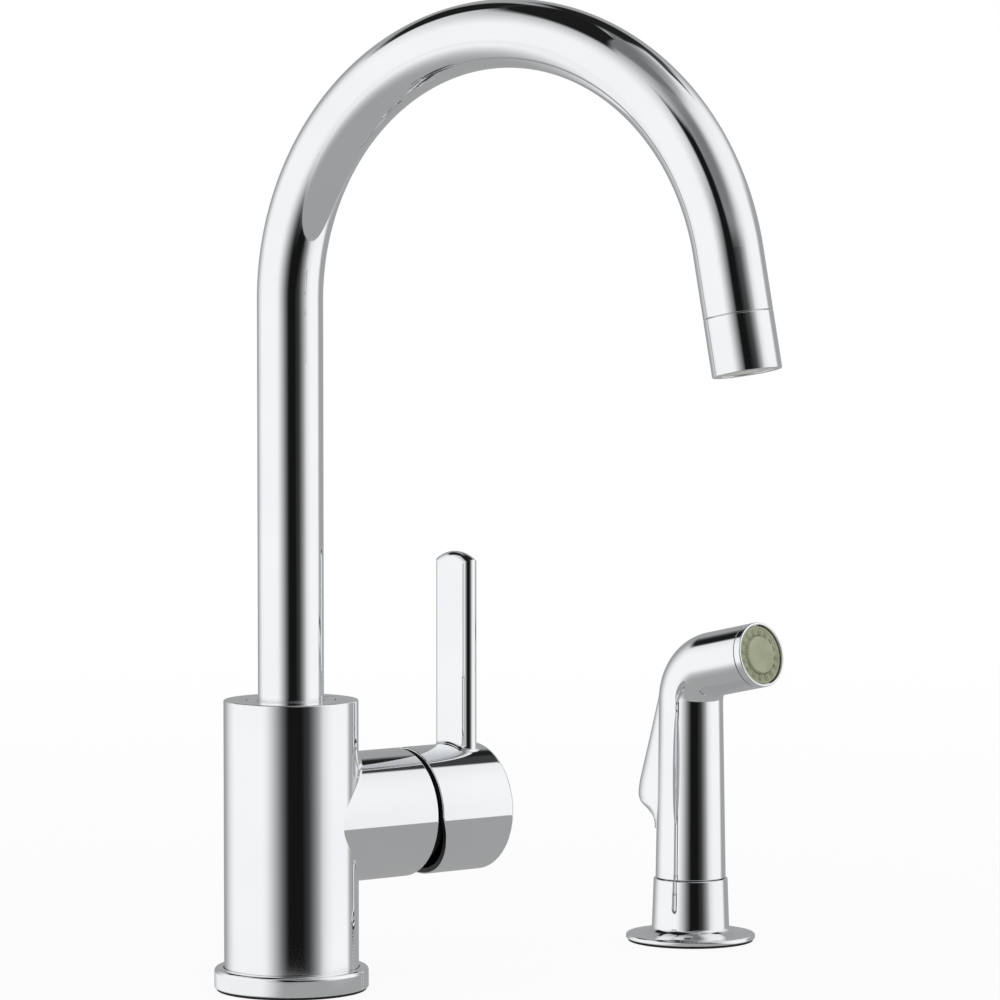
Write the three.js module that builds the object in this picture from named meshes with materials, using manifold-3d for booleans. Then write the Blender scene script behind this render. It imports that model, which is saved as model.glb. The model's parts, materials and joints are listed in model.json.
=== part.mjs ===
// A deck-mounted kitchen faucet with one lever, a swivelling gooseneck spout and a separate side spray.
// Millimetres and degrees. Z is up and the deck's top is the plane z = 0, with the origin on the faucet's axis.
// X runs along the valve's axis, from the faucet to the side spray, and -Y is the user's side.
import * as THREE from 'three';
import { mergeVertices } from 'three/addons/utils/BufferGeometryUtils.js';
import Module from 'manifold-3d';

// ---- Driving dimensions: whole object ----
const fit = 0.3; // gap between two pieces that seat on, screw into or turn in each other
const deckThickness = 10; // deck clamped between the bases and their nuts
const sprayDistance = 203.2; // from the faucet's axis to the side spray's
const gasketThickness = 0.7;
const gasketInset = 0.8; // of a gasket's edge under its ring's or flange's
const smallEdge = 0.4; // broken edges of turned pieces

// ---- Driving dimensions: base and body ----
const baseRingRadius = 29.8;
const baseRingTop = 8.8;
const baseRingEdge = 1.5; // rounding of the ring's upper edge
const bodyRecess = 2.5; // depth of the seat in the base ring that the body stands in
const bodyRadius = 26;
const bodyTop = 112.1;
const bodyEdge = 0.6; // chamfer round the body's top
const shankRadius = 16;
const ringClearance = 1; // between the shank and the ring and gasket round it
const shankWall = 2.8;
const shankDrop = 45; // shank below the deck's top
const shankScrewed = 14; // shank inside the body
const supplyOffset = 8.2; // from the faucet's axis to each of the three water nipples
const supplyAngle = 60; // of the hot and cold nipples, each side of the valve's axis
const nippleRadius = 4.3;
const nippleBore = 2.8;
const nippleSocket = 12; // depth of a nipple in the body
const nippleCollarRadius = 6.2;
const nippleCollarLength = 12;
const channelRadius = 3.2;
const clampRadius = 28; // rubber seal and steel washer under the deck
const clampSealThickness = 2;
const clampWasherThickness = 1.6;
const mountingNutRadius = 24; // across corners
const mountingNutHeight = 9;

// ---- Driving dimensions: diverter ----
const diverterRadius = 7;
const diverterWall = 1.8;
const diverterBottom = 40.3;
const diverterLength = 20;
const diverterSeatBore = 2.5;
const diverterSeatThickness = 3.7;
const poppetDiscThickness = 2.7;
const poppetStemRadius = 1.8;
const poppetLength = 13.7;

// ---- Driving dimensions: cartridge valve, along its axis from the faucet's axis ----
const valveHeight = 64.7;
const bossRadius = 25.2;
const cavityFloor = 22;
const inletLand = 1.47; // of the fixed disc outside its hot and cold ports
const mixedLand = 2.8; // of the fixed disc outside its mixed water port
const mixedPortRadius = 3.6;
const sealPadThickness = 1.4;
const housingRadius = 18.6;
const housingWall = 2.4;
const housingFloor = 2.8;
const housingLength = 22;
const fixedDiscThickness = 3.2;
const movingDiscRadius = 10.6;
const movingDiscThickness = 4;
const movingDiscPocket = 6.5; // radius of the mixing pocket in the moving disc's face
const movingDiscPocketDepth = 1.6;
const socketRadius = 6.2; // of the moving disc's socket, which the stem's ball drives
const socketLength = 9;
const collarNeckRadius = 12.5;
const stemBallRadius = 3;
const stemNeckRadius = 2.2;
const stemRadius = 4;
const stemThrow = 12; // from the tilt pivot back to the ball
const stemShoulder = 7.5; // from the tilt pivot back to the thin neck
const stemPinRadius = 1.8;
const stemPinInset = 0.5; // of the pin's ends inside the collar's neck
const tiltRange = 20;
const bonnetRadius = 21.5;
const bonnetLength = 5.9;
const trimRadius = 20.6;
const trimLength = 6.5;

// ---- Driving dimensions: lever handle ----
const domeRadius = 25.25;
const domeLength = 35.3;
const domeWall = 2.35;
const domeEndWall = 3.5;
const domeEdge = 1.4; // rounding of the dome's end
const rimGap = 2.2; // between the boss and the upper half of the dome's rim
const rimRelief = 7.8; // how much wider the gap is at the bottom
const hubRadius = 8.5;
const hubStart = 66;
const hubBlindWall = 2.2; // metal left in front of the stem's end
const leverWidth = 21.5;
const leverThickness = 7.1; // its edges are fully round
const leverCentre = 80.5; // from the faucet's axis
const leverTop = 166.3; // above the deck
const leverCrown = 3; // rise of the lever's arched top from its sides to its middle
const leverRoot = 0.2; // metal between the lever's foot and the dome's bore
const setScrewRadius = 2;
const setScrewLength = 4.4;
const setScrewAt = 74;
const plugRadius = 3;
const plugThickness = 2.4;

// ---- Driving dimensions: spout ----
const spoutAzimuth = -72.4;
const tubeRadius = 12.7;
const tubeWall = 1.5;
const bendStart = 265.8;
const bendRadius = 98.85;
const bendSweep = 169.5;
const outletLength = 44.3; // straight end of the spout, aerator included
const spoutHubRadius = 16;
const spoutHubBottom = 80;
const spoutHubLength = 27.6;
const spoutHubFloor = 1.7;
const socketDepth = 46.1; // of the body's socket, from the body's top
const grooveDepth = 1.8;
const grooveWidth = 3.2;
const lowerGroove = 5; // from the hub's bottom
const upperGroove = 18;
const ringSection = 0.8;
const retainerReach = 1.6; // of the retaining ring into the body's wall
const retainerThickness = 1.4;
const retainerGap = 40; // opening of the C-shaped ring
const bushRadius = 17;
const aeratorLength = 21;
const aeratorWall = 2.5;
const aeratorChamfer = 0.5;
const aeratorSpigot = 8;
const aeratorWasherThickness = 1.5;
const aeratorInsertLength = 14.5;
const aeratorInsertWall = 1.6;
const aeratorGridThickness = 3;
const aeratorRecess = 1; // of the insert behind the outlet's rim
const aeratorHoles = 8;
const aeratorHoleRadius = 1.4;
const aeratorHoleCircle = 5.4;

// ---- Driving dimensions: side spray holder ----
const flangeRadius = 26.7;
const flangeThickness = 1.5;
const sleeveTop = 26;
const sleeveTopRadius = 15.3;
const sleeveFootRadius = 16;
const sleeveFoot = 6.3;
const sleeveBore = 14;
const insertWall = 1;
const holderShankRadius = 14.2;
const holderShankWall = 1.3;
const holderShankDrop = 38;
const holderNutRadius = 20;
const holderNutHeight = 8;

// ---- Driving dimensions: spray wand, heights above the deck ----
const headAzimuth = -83.3;
const gripFootRadius = 14.5;
const gripTopRadius = 13.3;
const gripTaperTop = 97;
const shellWall = 1.5;
const spigotRadius = 12.4;
const spigotBottom = 5;
const elbowHeight = 112.7; // where the axes of grip and head meet
const elbowRadius = 16;
const headTilt = 12; // of the head above the horizontal
const headLength = 39.9; // from the meeting of the axes to the bezel's front
const bezelLength = 3.2;
const bezelWall = 1;
const faceRecess = 0.9; // of the nozzle field behind the bezel's front
const faceDiscRadius = 7.6;
const faceDiscDraft = 0.3;
const faceThickness = 4.7;
const coreLength = 7;
const coreFloor = 2;
const coreWall = 1.2;
const waterwayRadius = 6;
const waterwayBore = 3.5;
const waterwayFlange = 4;
const waterwayInset = 1; // of its flange above the shell's lower end
const couplingRadius = 8;
const couplingLength = 15.7;

// ---- Driving dimensions: trigger and its valve ----
const pivotHeight = 100; // of the pin that the trigger hangs on
const triggerRise = 4; // of the trigger's top above the pin
const triggerDrop = 54; // of its lower end below the pin
const triggerTipDrop = 39.5; // of its widest point below the pin
const triggerTopReach = 13.7; // reaches are from the grip's axis to the trigger's back
const triggerTipReach = 26.4;
const triggerFootReach = 15;
const tipRounding = 5; // height over which the widest point rounds into the straight back
const tipRelief = 0.8; // how much the back has come in by then
// The trigger's foot sweeps out to its widest point: [share of the height, share of the reach].
const footSweep = [[0, 0], [0.2, 0.035], [0.36, 0.158], [0.52, 0.456], [0.68, 0.825], [0.82, 0.965], [1, 1]];
const triggerTopWidth = 15;
const triggerFootWidth = 20.6;
const triggerFront = 6.5; // front edge of its cheeks, behind the grip's axis
const triggerWall = 1.8;
const triggerRoundness = 2.6; // exponent of the rounded section: 2 is an ellipse
const windowClearance = 0.4; // between the trigger and the shell's window
const windowFront = 4; // front edge of the window, behind the grip's axis
const pivotSetback = 9;
const pivotPinRadius = 1.4;
const pivotPinLength = 14.4;
const lugWidth = 6.4;
const lugHeight = 5.6;
const lugWall = 0.7; // behind the pin
const plungerDrop = 28; // of the valve below the pin
const plungerTip = 20.8; // setbacks are from the grip's axis
const plungerTipRadius = 2.6;
const plungerCollarRadius = 4;
const plungerCollarSetback = 19.6;
const plungerCollarThickness = 0.8;
const plungerRodRadius = 1.9;
const plungerPistonRadius = 3;
const plungerPistonSetback = 7;
const plungerPistonLength = 4.5;
const plungerGrooveWidth = 1.8;
const plungerGrooveDepth = 1.1;
const plungerSealSection = 0.45;
const valveBossRadius = 5;
const valveBossSetback = 9.5;
const springTurns = 4.5;
const springWireRadius = 0.4;
const springRadius = 3.2;

// ---- Facets round a full turn ----
const largeSides = 32;
const roundSides = 24;
const smallSides = 16;
const tinySides = 8;
const sectionSides = 6; // round the section of a ring
const spoutSteps = 30; // along the spout's arc
const elbowSteps = 10;
const cheekSteps = 14; // from cheek to cheek of the trigger
const barSteps = 10; // round each edge of the lever
const springSteps = 8; // along one turn of wire

const beyond = 1; // how far a cutter runs past an open face

// ---- Sizes that follow from the driving dimensions ----
const bodyBottom = baseRingTop - bodyRecess + fit;
const shankTop = bodyBottom + shankScrewed;
const socketTop = shankTop + fit + nippleSocket;
const hotSide = -supplyAngle;
const coldSide = supplyAngle;
const spraySide = 180;
const portSpread = supplyOffset * Math.sin(THREE.MathUtils.degToRad(supplyAngle));
const fixedDiscRadius = housingRadius - housingWall - fit;
const portDrop = Math.sqrt((fixedDiscRadius - inletLand - channelRadius) ** 2 - portSpread ** 2);
const portRise = fixedDiscRadius - mixedLand - mixedPortRadius;
const socketFloor = bodyTop - socketDepth;
const housingStart = cavityFloor + fit + sealPadThickness + fit;
const housingEnd = housingStart + housingLength;
const fixedDiscStart = housingStart + housingFloor + fit;
const movingDiscStart = fixedDiscStart + fixedDiscThickness + fit;
const socketStart = movingDiscStart + movingDiscThickness;
const socketEnd = socketStart + socketLength;
const bonnetStart = housingEnd + fit;
const bonnetEnd = bonnetStart + bonnetLength;
const bossReach = bonnetEnd + fit;
const tiltPivot = bonnetEnd + stemPinRadius;
const trimEnd = bossReach + trimLength;
const domeStart = bossReach + rimGap;
const domeEnd = domeStart + domeLength;
const stemEnd = domeEnd - domeEndWall - hubBlindWall - fit;
const spoutHubTop = spoutHubBottom + spoutHubLength;
const retainerStart = spoutHubTop + fit + fit;
const bushStart = retainerStart + retainerThickness + fit + fit;
const tubeTail = outletLength - aeratorLength - fit;
const deckUnderside = -deckThickness;
const flangeBottom = gasketThickness + fit;
const insertRadius = sleeveBore - fit;
const insertBore = insertRadius - insertWall;
const gripBottom = sleeveTop + fit;
const headSweep = 90 - headTilt;
const elbowTangent = elbowRadius * Math.tan(THREE.MathUtils.degToRad(headSweep / 2));
const elbowStart = elbowHeight - elbowTangent;
const bezelStart = headLength - bezelLength;
const shellEnd = bezelStart - fit;
const headBore = gripTopRadius - shellWall;
const faceFront = headLength - faceRecess;
const faceStart = faceFront - faceThickness;
const coreStart = faceStart - fit - coreLength;
const waterwayStart = spigotBottom + waterwayInset;
const triggerTop = pivotHeight + triggerRise;
const triggerBottom = pivotHeight - triggerDrop;
const triggerTip = pivotHeight - triggerTipDrop;
const plungerHeight = pivotHeight - plungerDrop;

// ---- Materials ----
const finish = (color, roughness, metalness) => new THREE.MeshStandardMaterial({ color, roughness, metalness });
const chrome = finish(0xd9dbde, 0.05, 1);
const brass = finish(0xb08d4f, 0.35, 1);
const steel = finish(0x9fa3a6, 0.35, 1);
const rubber = finish(0x1c1c1c, 0.8, 0);
const blackPlastic = finish(0x151617, 0.35, 0);
const whitePlastic = finish(0xe4e4de, 0.45, 0);
const greyPlastic = finish(0x8a8d8f, 0.5, 0);
const facePlastic = finish(0x989d86, 0.45, 0);
const ceramic = finish(0xf1efe8, 0.2, 0);

// ---- Closed geometry and booleans ----
const wasm = await Module();
wasm.setup();

const radians = THREE.MathUtils.degToRad;

// The geometry's positions with shared vertices, and without faces that have no area.
function welded(geometry) {
  const bare = (geometry.index ? geometry.toNonIndexed() : geometry).clone();
  bare.deleteAttribute('normal');
  bare.deleteAttribute('uv');
  const merged = mergeVertices(bare, 1e-3);
  const corners = merged.index.array;
  const kept = [];
  for (let i = 0; i < corners.length; i += 3) {
    const [a, b, c] = corners.slice(i, i + 3);
    if (a !== b && b !== c && c !== a) kept.push(a, b, c);
  }
  merged.setIndex(kept);
  return merged;
}

function solidOf(geometry) {
  const merged = welded(geometry);
  const mesh = new wasm.Mesh({
    numProp: 3,
    vertProperties: new Float32Array(merged.attributes.position.array),
    triVerts: new Uint32Array(merged.index.array),
  });
  return new wasm.Manifold(mesh);
}

function geometryOf(solid) {
  const mesh = solid.getMesh();
  const geometry = new THREE.BufferGeometry();
  geometry.setAttribute('position', new THREE.BufferAttribute(mesh.vertProperties, mesh.numProp));
  geometry.setIndex(new THREE.BufferAttribute(mesh.triVerts, 1));
  return geometry;
}

const join = (first, ...others) =>
  geometryOf(others.reduce((whole, other) => whole.add(solidOf(other)), solidOf(first)));
const cut = (first, ...tools) =>
  geometryOf(tools.reduce((whole, tool) => whole.subtract(solidOf(tool)), solidOf(first)));
const overlap = (first, second) => geometryOf(solidOf(first).intersect(solidOf(second)));

// ---- Shapes ----

// A profile of [radius, height] points, anticlockwise, turned about the Z axis.
function turned(profile, sides = roundSides) {
  const points = profile.map(([radius, height]) => new THREE.Vector2(radius, height));
  if (profile[0][0] > 0) points.push(points[0].clone());
  return welded(new THREE.LatheGeometry(points, sides)).rotateX(Math.PI / 2);
}

const rod = (radius, from, to, sides) => turned([[0, from], [radius, from], [radius, to], [0, to]], sides);
const pipe = (radius, bore, from, to, sides) =>
  turned([[bore, from], [radius, from], [radius, to], [bore, to]], sides);
const alongX = (geometry) => geometry.rotateY(Math.PI / 2);
const alongY = (geometry) => geometry.rotateX(-Math.PI / 2);

// A ring of round section about the Z axis.
function sealRing(radius, section, height, sides = roundSides) {
  return welded(new THREE.TorusGeometry(radius, section, sectionSides, sides)).translate(0, 0, height);
}

// A nut: a six-sided block with a round bore.
const nut = (radius, bore, from, to) => cut(rod(radius, from, to, 6), rod(bore, from - beyond, to + beyond));

// An upright box given by its lowest and highest corners.
function box(low, high) {
  const size = high.map((value, axis) => value - low[axis]);
  const centre = high.map((value, axis) => (value + low[axis]) / 2);
  return new THREE.BoxGeometry(...size).translate(...centre);
}

function circlePoints(radius, sides) {
  const point = (i) => {
    const angle = (2 * Math.PI * i) / sides;
    return new THREE.Vector2(radius * Math.cos(angle), radius * Math.sin(angle));
  };
  return Array.from({ length: sides }, (_, i) => point(i));
}

// Straight up from [0, 0, from], round an arc that leans towards +X, and straight on for the tail.
// It is stepped evenly by ring, with few rings on the straight runs and many on the arc.
class BentPath extends THREE.Curve {
  constructor({ from, arcStart, radius, sweep, tail, arcSteps }) {
    super();
    this.from = from;
    this.arcStart = arcStart;
    this.radius = radius;
    this.sweep = radians(sweep);
    this.tail = tail;
    this.arcSteps = arcSteps;
    this.steps = arcSteps + 2;
  }

  getUtoTmapping(u) {
    return u;
  }

  getPoint(t, target = new THREE.Vector3()) {
    const ring = t * this.steps;
    if (ring <= 1) return target.set(0, 0, THREE.MathUtils.lerp(this.from, this.arcStart, ring));
    const angle = this.sweep * Math.min((ring - 1) / this.arcSteps, 1);
    const run = this.tail * Math.max(ring - 1 - this.arcSteps, 0);
    return target.set(
      this.radius * (1 - Math.cos(angle)) + run * Math.sin(angle),
      0,
      this.arcStart + this.radius * Math.sin(angle) + run * Math.cos(angle),
    );
  }

  getTangent(t, target = new THREE.Vector3()) {
    const angle = this.sweep * THREE.MathUtils.clamp((t * this.steps - 1) / this.arcSteps, 0, 1);
    return target.set(Math.sin(angle), 0, Math.cos(angle));
  }
}

// A round bar, or a tube where a bore is given, along a bent path.
function bentBar(path, radius, bore = 0, sides = roundSides) {
  const section = new THREE.Shape(circlePoints(radius, sides));
  if (bore > 0) section.holes.push(new THREE.Path(circlePoints(bore, sides)));
  return welded(new THREE.ExtrudeGeometry(section, { steps: path.steps, extrudePath: path }));
}

// Closed skin over rings that all have the same number of points; each ring is an outline in one plane.
function lofted(rings, outline) {
  const count = outline.length;
  const last = (rings.length - 1) * count;
  const faces = [];
  for (let r = 0; r < rings.length - 1; r += 1) {
    for (let i = 0; i < count; i += 1) {
      const here = r * count + i;
      const next = r * count + ((i + 1) % count);
      faces.push(here, next, next + count, here, next + count, here + count);
    }
  }
  for (const [a, b, c] of THREE.ShapeUtils.triangulateShape(outline, [])) {
    faces.push(a, c, b, last + a, last + b, last + c);
  }
  const geometry = new THREE.BufferGeometry();
  geometry.setAttribute('position', new THREE.Float32BufferAttribute(rings.flat(2), 3));
  geometry.setIndex(faces);
  return geometry;
}

function piece(name, geometry, material, group) {
  const flat = geometry.index ? geometry.toNonIndexed() : geometry;
  flat.computeVertexNormals();
  const mesh = new THREE.Mesh(flat, material);
  mesh.name = name;
  group.add(mesh);
}

// ---- Base and body ----

const supplyPlace = (angle) => [
  supplyOffset * Math.cos(radians(angle)),
  supplyOffset * Math.sin(radians(angle)),
];

function baseRing() {
  const bore = shankRadius + ringClearance;
  const recessRadius = bodyRadius + fit;
  const recessFloor = baseRingTop - bodyRecess;
  const edge = [0, 30, 60, 90].map((angle) => [
    baseRingRadius - baseRingEdge * (1 - Math.cos(radians(angle))),
    baseRingTop - baseRingEdge * (1 - Math.sin(radians(angle))),
  ]);
  return turned(
    [
      [bore, flangeBottom],
      [baseRingRadius - smallEdge, flangeBottom],
      [baseRingRadius, flangeBottom + smallEdge],
      ...edge,
      [recessRadius, baseRingTop],
      [recessRadius, recessFloor],
      [bore, recessFloor],
    ],
    largeSides,
  );
}

// Vertical body with the valve's boss, bored for the shank, the water ways, the cartridge and the spout.
function body() {
  const outside = join(
    turned(
      [
        [0, bodyBottom],
        [bodyRadius, bodyBottom],
        [bodyRadius, bodyTop - bodyEdge],
        [bodyRadius - bodyEdge, bodyTop],
        [0, bodyTop],
      ],
      largeSides,
    ),
    alongX(rod(bossRadius, 0, bossReach, largeSides)).translate(0, 0, valveHeight),
  );
  const socketBore = spoutHubRadius + fit;
  const grooveBore = socketBore + retainerReach;
  const inlet = (side) => {
    const [x, y] = supplyPlace(side);
    const portHeight = valveHeight - portDrop;
    return [
      rod(nippleRadius + fit, shankTop, socketTop, smallSides).translate(x, y, 0),
      rod(channelRadius, socketTop - beyond, portHeight, smallSides).translate(x, y, 0),
      alongX(rod(channelRadius, x - channelRadius, cavityFloor + beyond, smallSides)).translate(0, y, portHeight),
    ];
  };
  const [sprayX, sprayY] = supplyPlace(spraySide);
  return cut(
    outside,
    rod(shankRadius + fit, bodyBottom - beyond, shankTop + fit),
    ...inlet(hotSide),
    ...inlet(coldSide),
    rod(nippleRadius + fit, shankTop, socketTop, smallSides).translate(sprayX, sprayY, 0),
    rod(channelRadius, socketTop - beyond, diverterBottom, smallSides).translate(sprayX, sprayY, 0),
    rod(diverterRadius + fit, diverterBottom - fit, socketFloor + beyond).translate(sprayX, sprayY, 0),
    rod(socketBore, socketFloor, bodyTop + beyond, largeSides),
    rod(grooveBore, retainerStart - fit, retainerStart + retainerThickness + fit, largeSides),
    rod(bushRadius + fit, bushStart - fit, bodyTop + beyond, largeSides),
    alongX(rod(channelRadius, socketBore - beyond, cavityFloor + beyond, smallSides))
      .translate(0, 0, valveHeight + portRise),
    alongX(rod(housingRadius + fit, cavityFloor, bossReach)).translate(0, 0, valveHeight),
    alongX(rod(bonnetRadius + fit, housingEnd, bossReach + beyond, largeSides)).translate(0, 0, valveHeight),
  );
}

function supplyNipple(side) {
  const [x, y] = supplyPlace(side);
  const collarTop = -shankDrop - fit;
  return turned(
    [
      [nippleBore, collarTop - nippleCollarLength],
      [nippleCollarRadius, collarTop - nippleCollarLength],
      [nippleCollarRadius, collarTop],
      [nippleRadius, collarTop],
      [nippleRadius, socketTop - fit],
      [nippleBore, socketTop - fit],
    ],
    smallSides,
  ).translate(x, y, 0);
}

function addBase(group) {
  const clampBore = shankRadius + fit;
  const sealBottom = deckUnderside - clampSealThickness;
  const washerBottom = sealBottom - fit - clampWasherThickness;
  piece('deck_gasket', pipe(baseRingRadius - gasketInset, shankRadius + ringClearance, 0, gasketThickness), rubber, group);
  piece('base_ring', baseRing(), chrome, group);
  piece('valve_body', body(), chrome, group);
  piece('mounting_shank', pipe(shankRadius, shankRadius - shankWall, -shankDrop, shankTop), brass, group);
  piece('under_deck_seal', pipe(clampRadius, clampBore, sealBottom, deckUnderside), rubber, group);
  piece('under_deck_washer', pipe(clampRadius, clampBore, washerBottom, sealBottom - fit), steel, group);
  piece(
    'mounting_nut',
    nut(mountingNutRadius, clampBore, washerBottom - fit - mountingNutHeight, washerBottom - fit),
    brass,
    group,
  );
  piece('hot_nipple', supplyNipple(hotSide), brass, group);
  piece('cold_nipple', supplyNipple(coldSide), brass, group);
  piece('spray_outlet_nipple', supplyNipple(spraySide), brass, group);
}

// ---- Diverter: a poppet that lifts in a guide and sends water to the side spray ----

function addDiverter(group) {
  const [x, y] = supplyPlace(spraySide);
  const bore = diverterRadius - diverterWall;
  const seatTop = diverterBottom + diverterSeatThickness;
  const top = diverterBottom + diverterLength;
  const guide = turned([
    [diverterSeatBore, diverterBottom],
    [diverterRadius, diverterBottom],
    [diverterRadius, top],
    [bore, top],
    [bore, seatTop],
    [diverterSeatBore, seatTop],
  ]);
  const discBottom = seatTop + fit;
  const poppet = turned([
    [0, discBottom],
    [bore - fit, discBottom],
    [bore - fit, discBottom + poppetDiscThickness],
    [poppetStemRadius, discBottom + poppetDiscThickness],
    [poppetStemRadius, discBottom + poppetLength],
    [0, discBottom + poppetLength],
  ], smallSides);
  piece('diverter_guide', guide.translate(x, y, 0), whitePlastic, group);
  piece('diverter_poppet', poppet.translate(x, y, 0), blackPlastic, group);
}

// ---- Cartridge, built about the X axis in a group at the valve's height ----

// A disc or cup about the X axis, with the hot, cold and mixed ports cut through between two planes.
function ported(geometry, from, to) {
  const port = (radius, y, z) => alongX(rod(radius, from - beyond, to + beyond, smallSides)).translate(0, y, z);
  return cut(
    geometry,
    port(channelRadius, -portSpread, -portDrop),
    port(channelRadius, portSpread, -portDrop),
    port(mixedPortRadius, 0, portRise),
  );
}

function cartridgeHousing() {
  const bore = housingRadius - housingWall;
  const floorTop = housingStart + housingFloor;
  const cup = turned([
    [0, housingStart],
    [housingRadius, housingStart],
    [housingRadius, housingEnd],
    [bore, housingEnd],
    [bore, floorTop],
    [0, floorTop],
  ]);
  return ported(alongX(cup), housingStart, floorTop);
}

function movingDisc() {
  const plate = turned([
    [0, movingDiscStart],
    [movingDiscRadius, movingDiscStart],
    [movingDiscRadius, socketStart],
    [socketRadius, socketStart],
    [socketRadius, socketEnd],
    [0, socketEnd],
  ]);
  const blind = socketStart + stemBallRadius / 2;
  return alongX(
    cut(
      plate,
      rod(movingDiscPocket, movingDiscStart - beyond, movingDiscStart + movingDiscPocketDepth),
      rod(stemBallRadius + fit, blind, socketEnd + beyond, smallSides),
    ),
  );
}

// The collar turns with the lever and is slotted, so that the stem and the moving disc's socket can tilt up.
function temperatureCollar() {
  const flangeStart = socketStart + fit + fit;
  const flangeEnd = housingEnd - fit;
  const neckEnd = trimEnd + fit;
  const travel = stemThrow * Math.sin(radians(tiltRange));
  const socketRoom = socketRadius + 2 * fit;
  const lift = (reach) => reach * Math.sin(radians(tiltRange)) + stemRadius / Math.cos(radians(tiltRange)) + fit;
  const outside = turned([
    [0, flangeStart],
    [fixedDiscRadius, flangeStart],
    [fixedDiscRadius, flangeEnd],
    [collarNeckRadius, flangeEnd],
    [collarNeckRadius, neckEnd],
    [0, neckEnd],
  ]);
  return cut(
    alongX(outside),
    box([flangeStart - beyond, -socketRoom, -socketRoom], [flangeEnd - fit, socketRoom, socketRoom + travel]),
    box(
      [flangeStart, -stemRadius - fit, -lift(neckEnd - tiltPivot)],
      [neckEnd + beyond, stemRadius + fit, lift(tiltPivot - flangeEnd + beyond)],
    ),
    alongY(rod(stemPinRadius + fit, -collarNeckRadius - beyond, collarNeckRadius + beyond, smallSides))
      .translate(tiltPivot, 0, 0),
  );
}

// Ball, thin neck and round shaft in one, with a cross bore for the pin that it tilts about.
function cartridgeStem() {
  const ballCentre = tiltPivot - stemThrow;
  const ball = new THREE.SphereGeometry(stemBallRadius, smallSides, tinySides).translate(ballCentre, 0, 0);
  return cut(
    join(
      ball,
      alongX(rod(stemNeckRadius, ballCentre, tiltPivot, smallSides)),
      alongX(rod(stemRadius, tiltPivot - stemShoulder, stemEnd, smallSides)),
    ),
    alongY(rod(stemPinRadius + fit, -stemRadius - beyond, stemRadius + beyond, smallSides)).translate(tiltPivot, 0, 0),
  );
}

function addCartridge(group) {
  const padStart = cavityFloor + fit;
  const padEnd = padStart + sealPadThickness;
  const neckBore = collarNeckRadius + fit;
  const pinReach = collarNeckRadius - stemPinInset;
  const pad = alongX(rod(housingRadius - fit, padStart, padEnd));
  const disc = alongX(rod(fixedDiscRadius, fixedDiscStart, fixedDiscStart + fixedDiscThickness));
  piece('cartridge_seal', ported(pad, padStart, padEnd), rubber, group);
  piece('cartridge_housing', cartridgeHousing(), whitePlastic, group);
  piece('fixed_disc', ported(disc, fixedDiscStart, fixedDiscStart + fixedDiscThickness), ceramic, group);
  piece('moving_disc', movingDisc(), ceramic, group);
  piece('temperature_collar', temperatureCollar(), whitePlastic, group);
  piece(
    'stem_pin',
    alongY(rod(stemPinRadius, -pinReach, pinReach, smallSides)).translate(tiltPivot, 0, 0),
    steel,
    group,
  );
  piece('bonnet_nut', alongX(pipe(bonnetRadius, neckBore, bonnetStart, bonnetEnd)), brass, group);
  piece('trim_sleeve', alongX(pipe(trimRadius, neckBore + fit, bossReach, trimEnd)), blackPlastic, group);
  piece('cartridge_stem', cartridgeStem(), steel, group);
}

// ---- Lever handle: dome, hub and lever in one casting ----

// Upright bar with full-round edges; its arched top is part of the rim of a disc as thick and as round as the bar.
function leverBlade() {
  const round = leverThickness / 2;
  const half = leverWidth / 2;
  const top = leverTop - valveHeight;
  const crownRadius = (half ** 2 + leverCrown ** 2) / (2 * leverCrown);
  const crownCentre = top - crownRadius;
  const section = new THREE.Shape();
  section.absarc(0, half - round, round, 0, Math.PI, false);
  section.absarc(0, round - half, round, Math.PI, 2 * Math.PI, false);
  const bar = new THREE.ExtrudeGeometry(section, { depth: top + beyond, bevelEnabled: false, curveSegments: barSteps });
  const rim = [0, 30, 60, 90, 120, 150, 180].map((angle) => [
    crownRadius - round * (1 - Math.sin(radians(angle))),
    -round * Math.cos(radians(angle)),
  ]);
  const disc = alongX(turned([[0, -round], ...rim, [0, round]], 2 * largeSides)).translate(0, 0, crownCentre);
  const below = box([-round - beyond, -half - beyond, -beyond], [round + beyond, half + beyond, crownCentre]);
  const root = alongX(rod(domeRadius - domeWall + leverRoot, -leverThickness, leverThickness, largeSides));
  return cut(overlap(bar, join(disc, below)), root).translate(leverCentre, 0, 0);
}

// Wedge that opens the gap below the valve's axis, so that the rim clears the boss when the lever tilts.
function rimWedge() {
  const deep = domeRadius + beyond;
  const slope = rimRelief / domeRadius;
  const outline = new THREE.Shape();
  outline.moveTo(domeStart - beyond, 0);
  outline.lineTo(domeStart, 0);
  outline.lineTo(domeStart + slope * deep, -deep);
  outline.lineTo(domeStart - beyond, -deep);
  const wedge = new THREE.ExtrudeGeometry(outline, { depth: 2 * deep, bevelEnabled: false });
  return wedge.rotateX(Math.PI / 2).translate(0, deep, 0);
}

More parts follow.
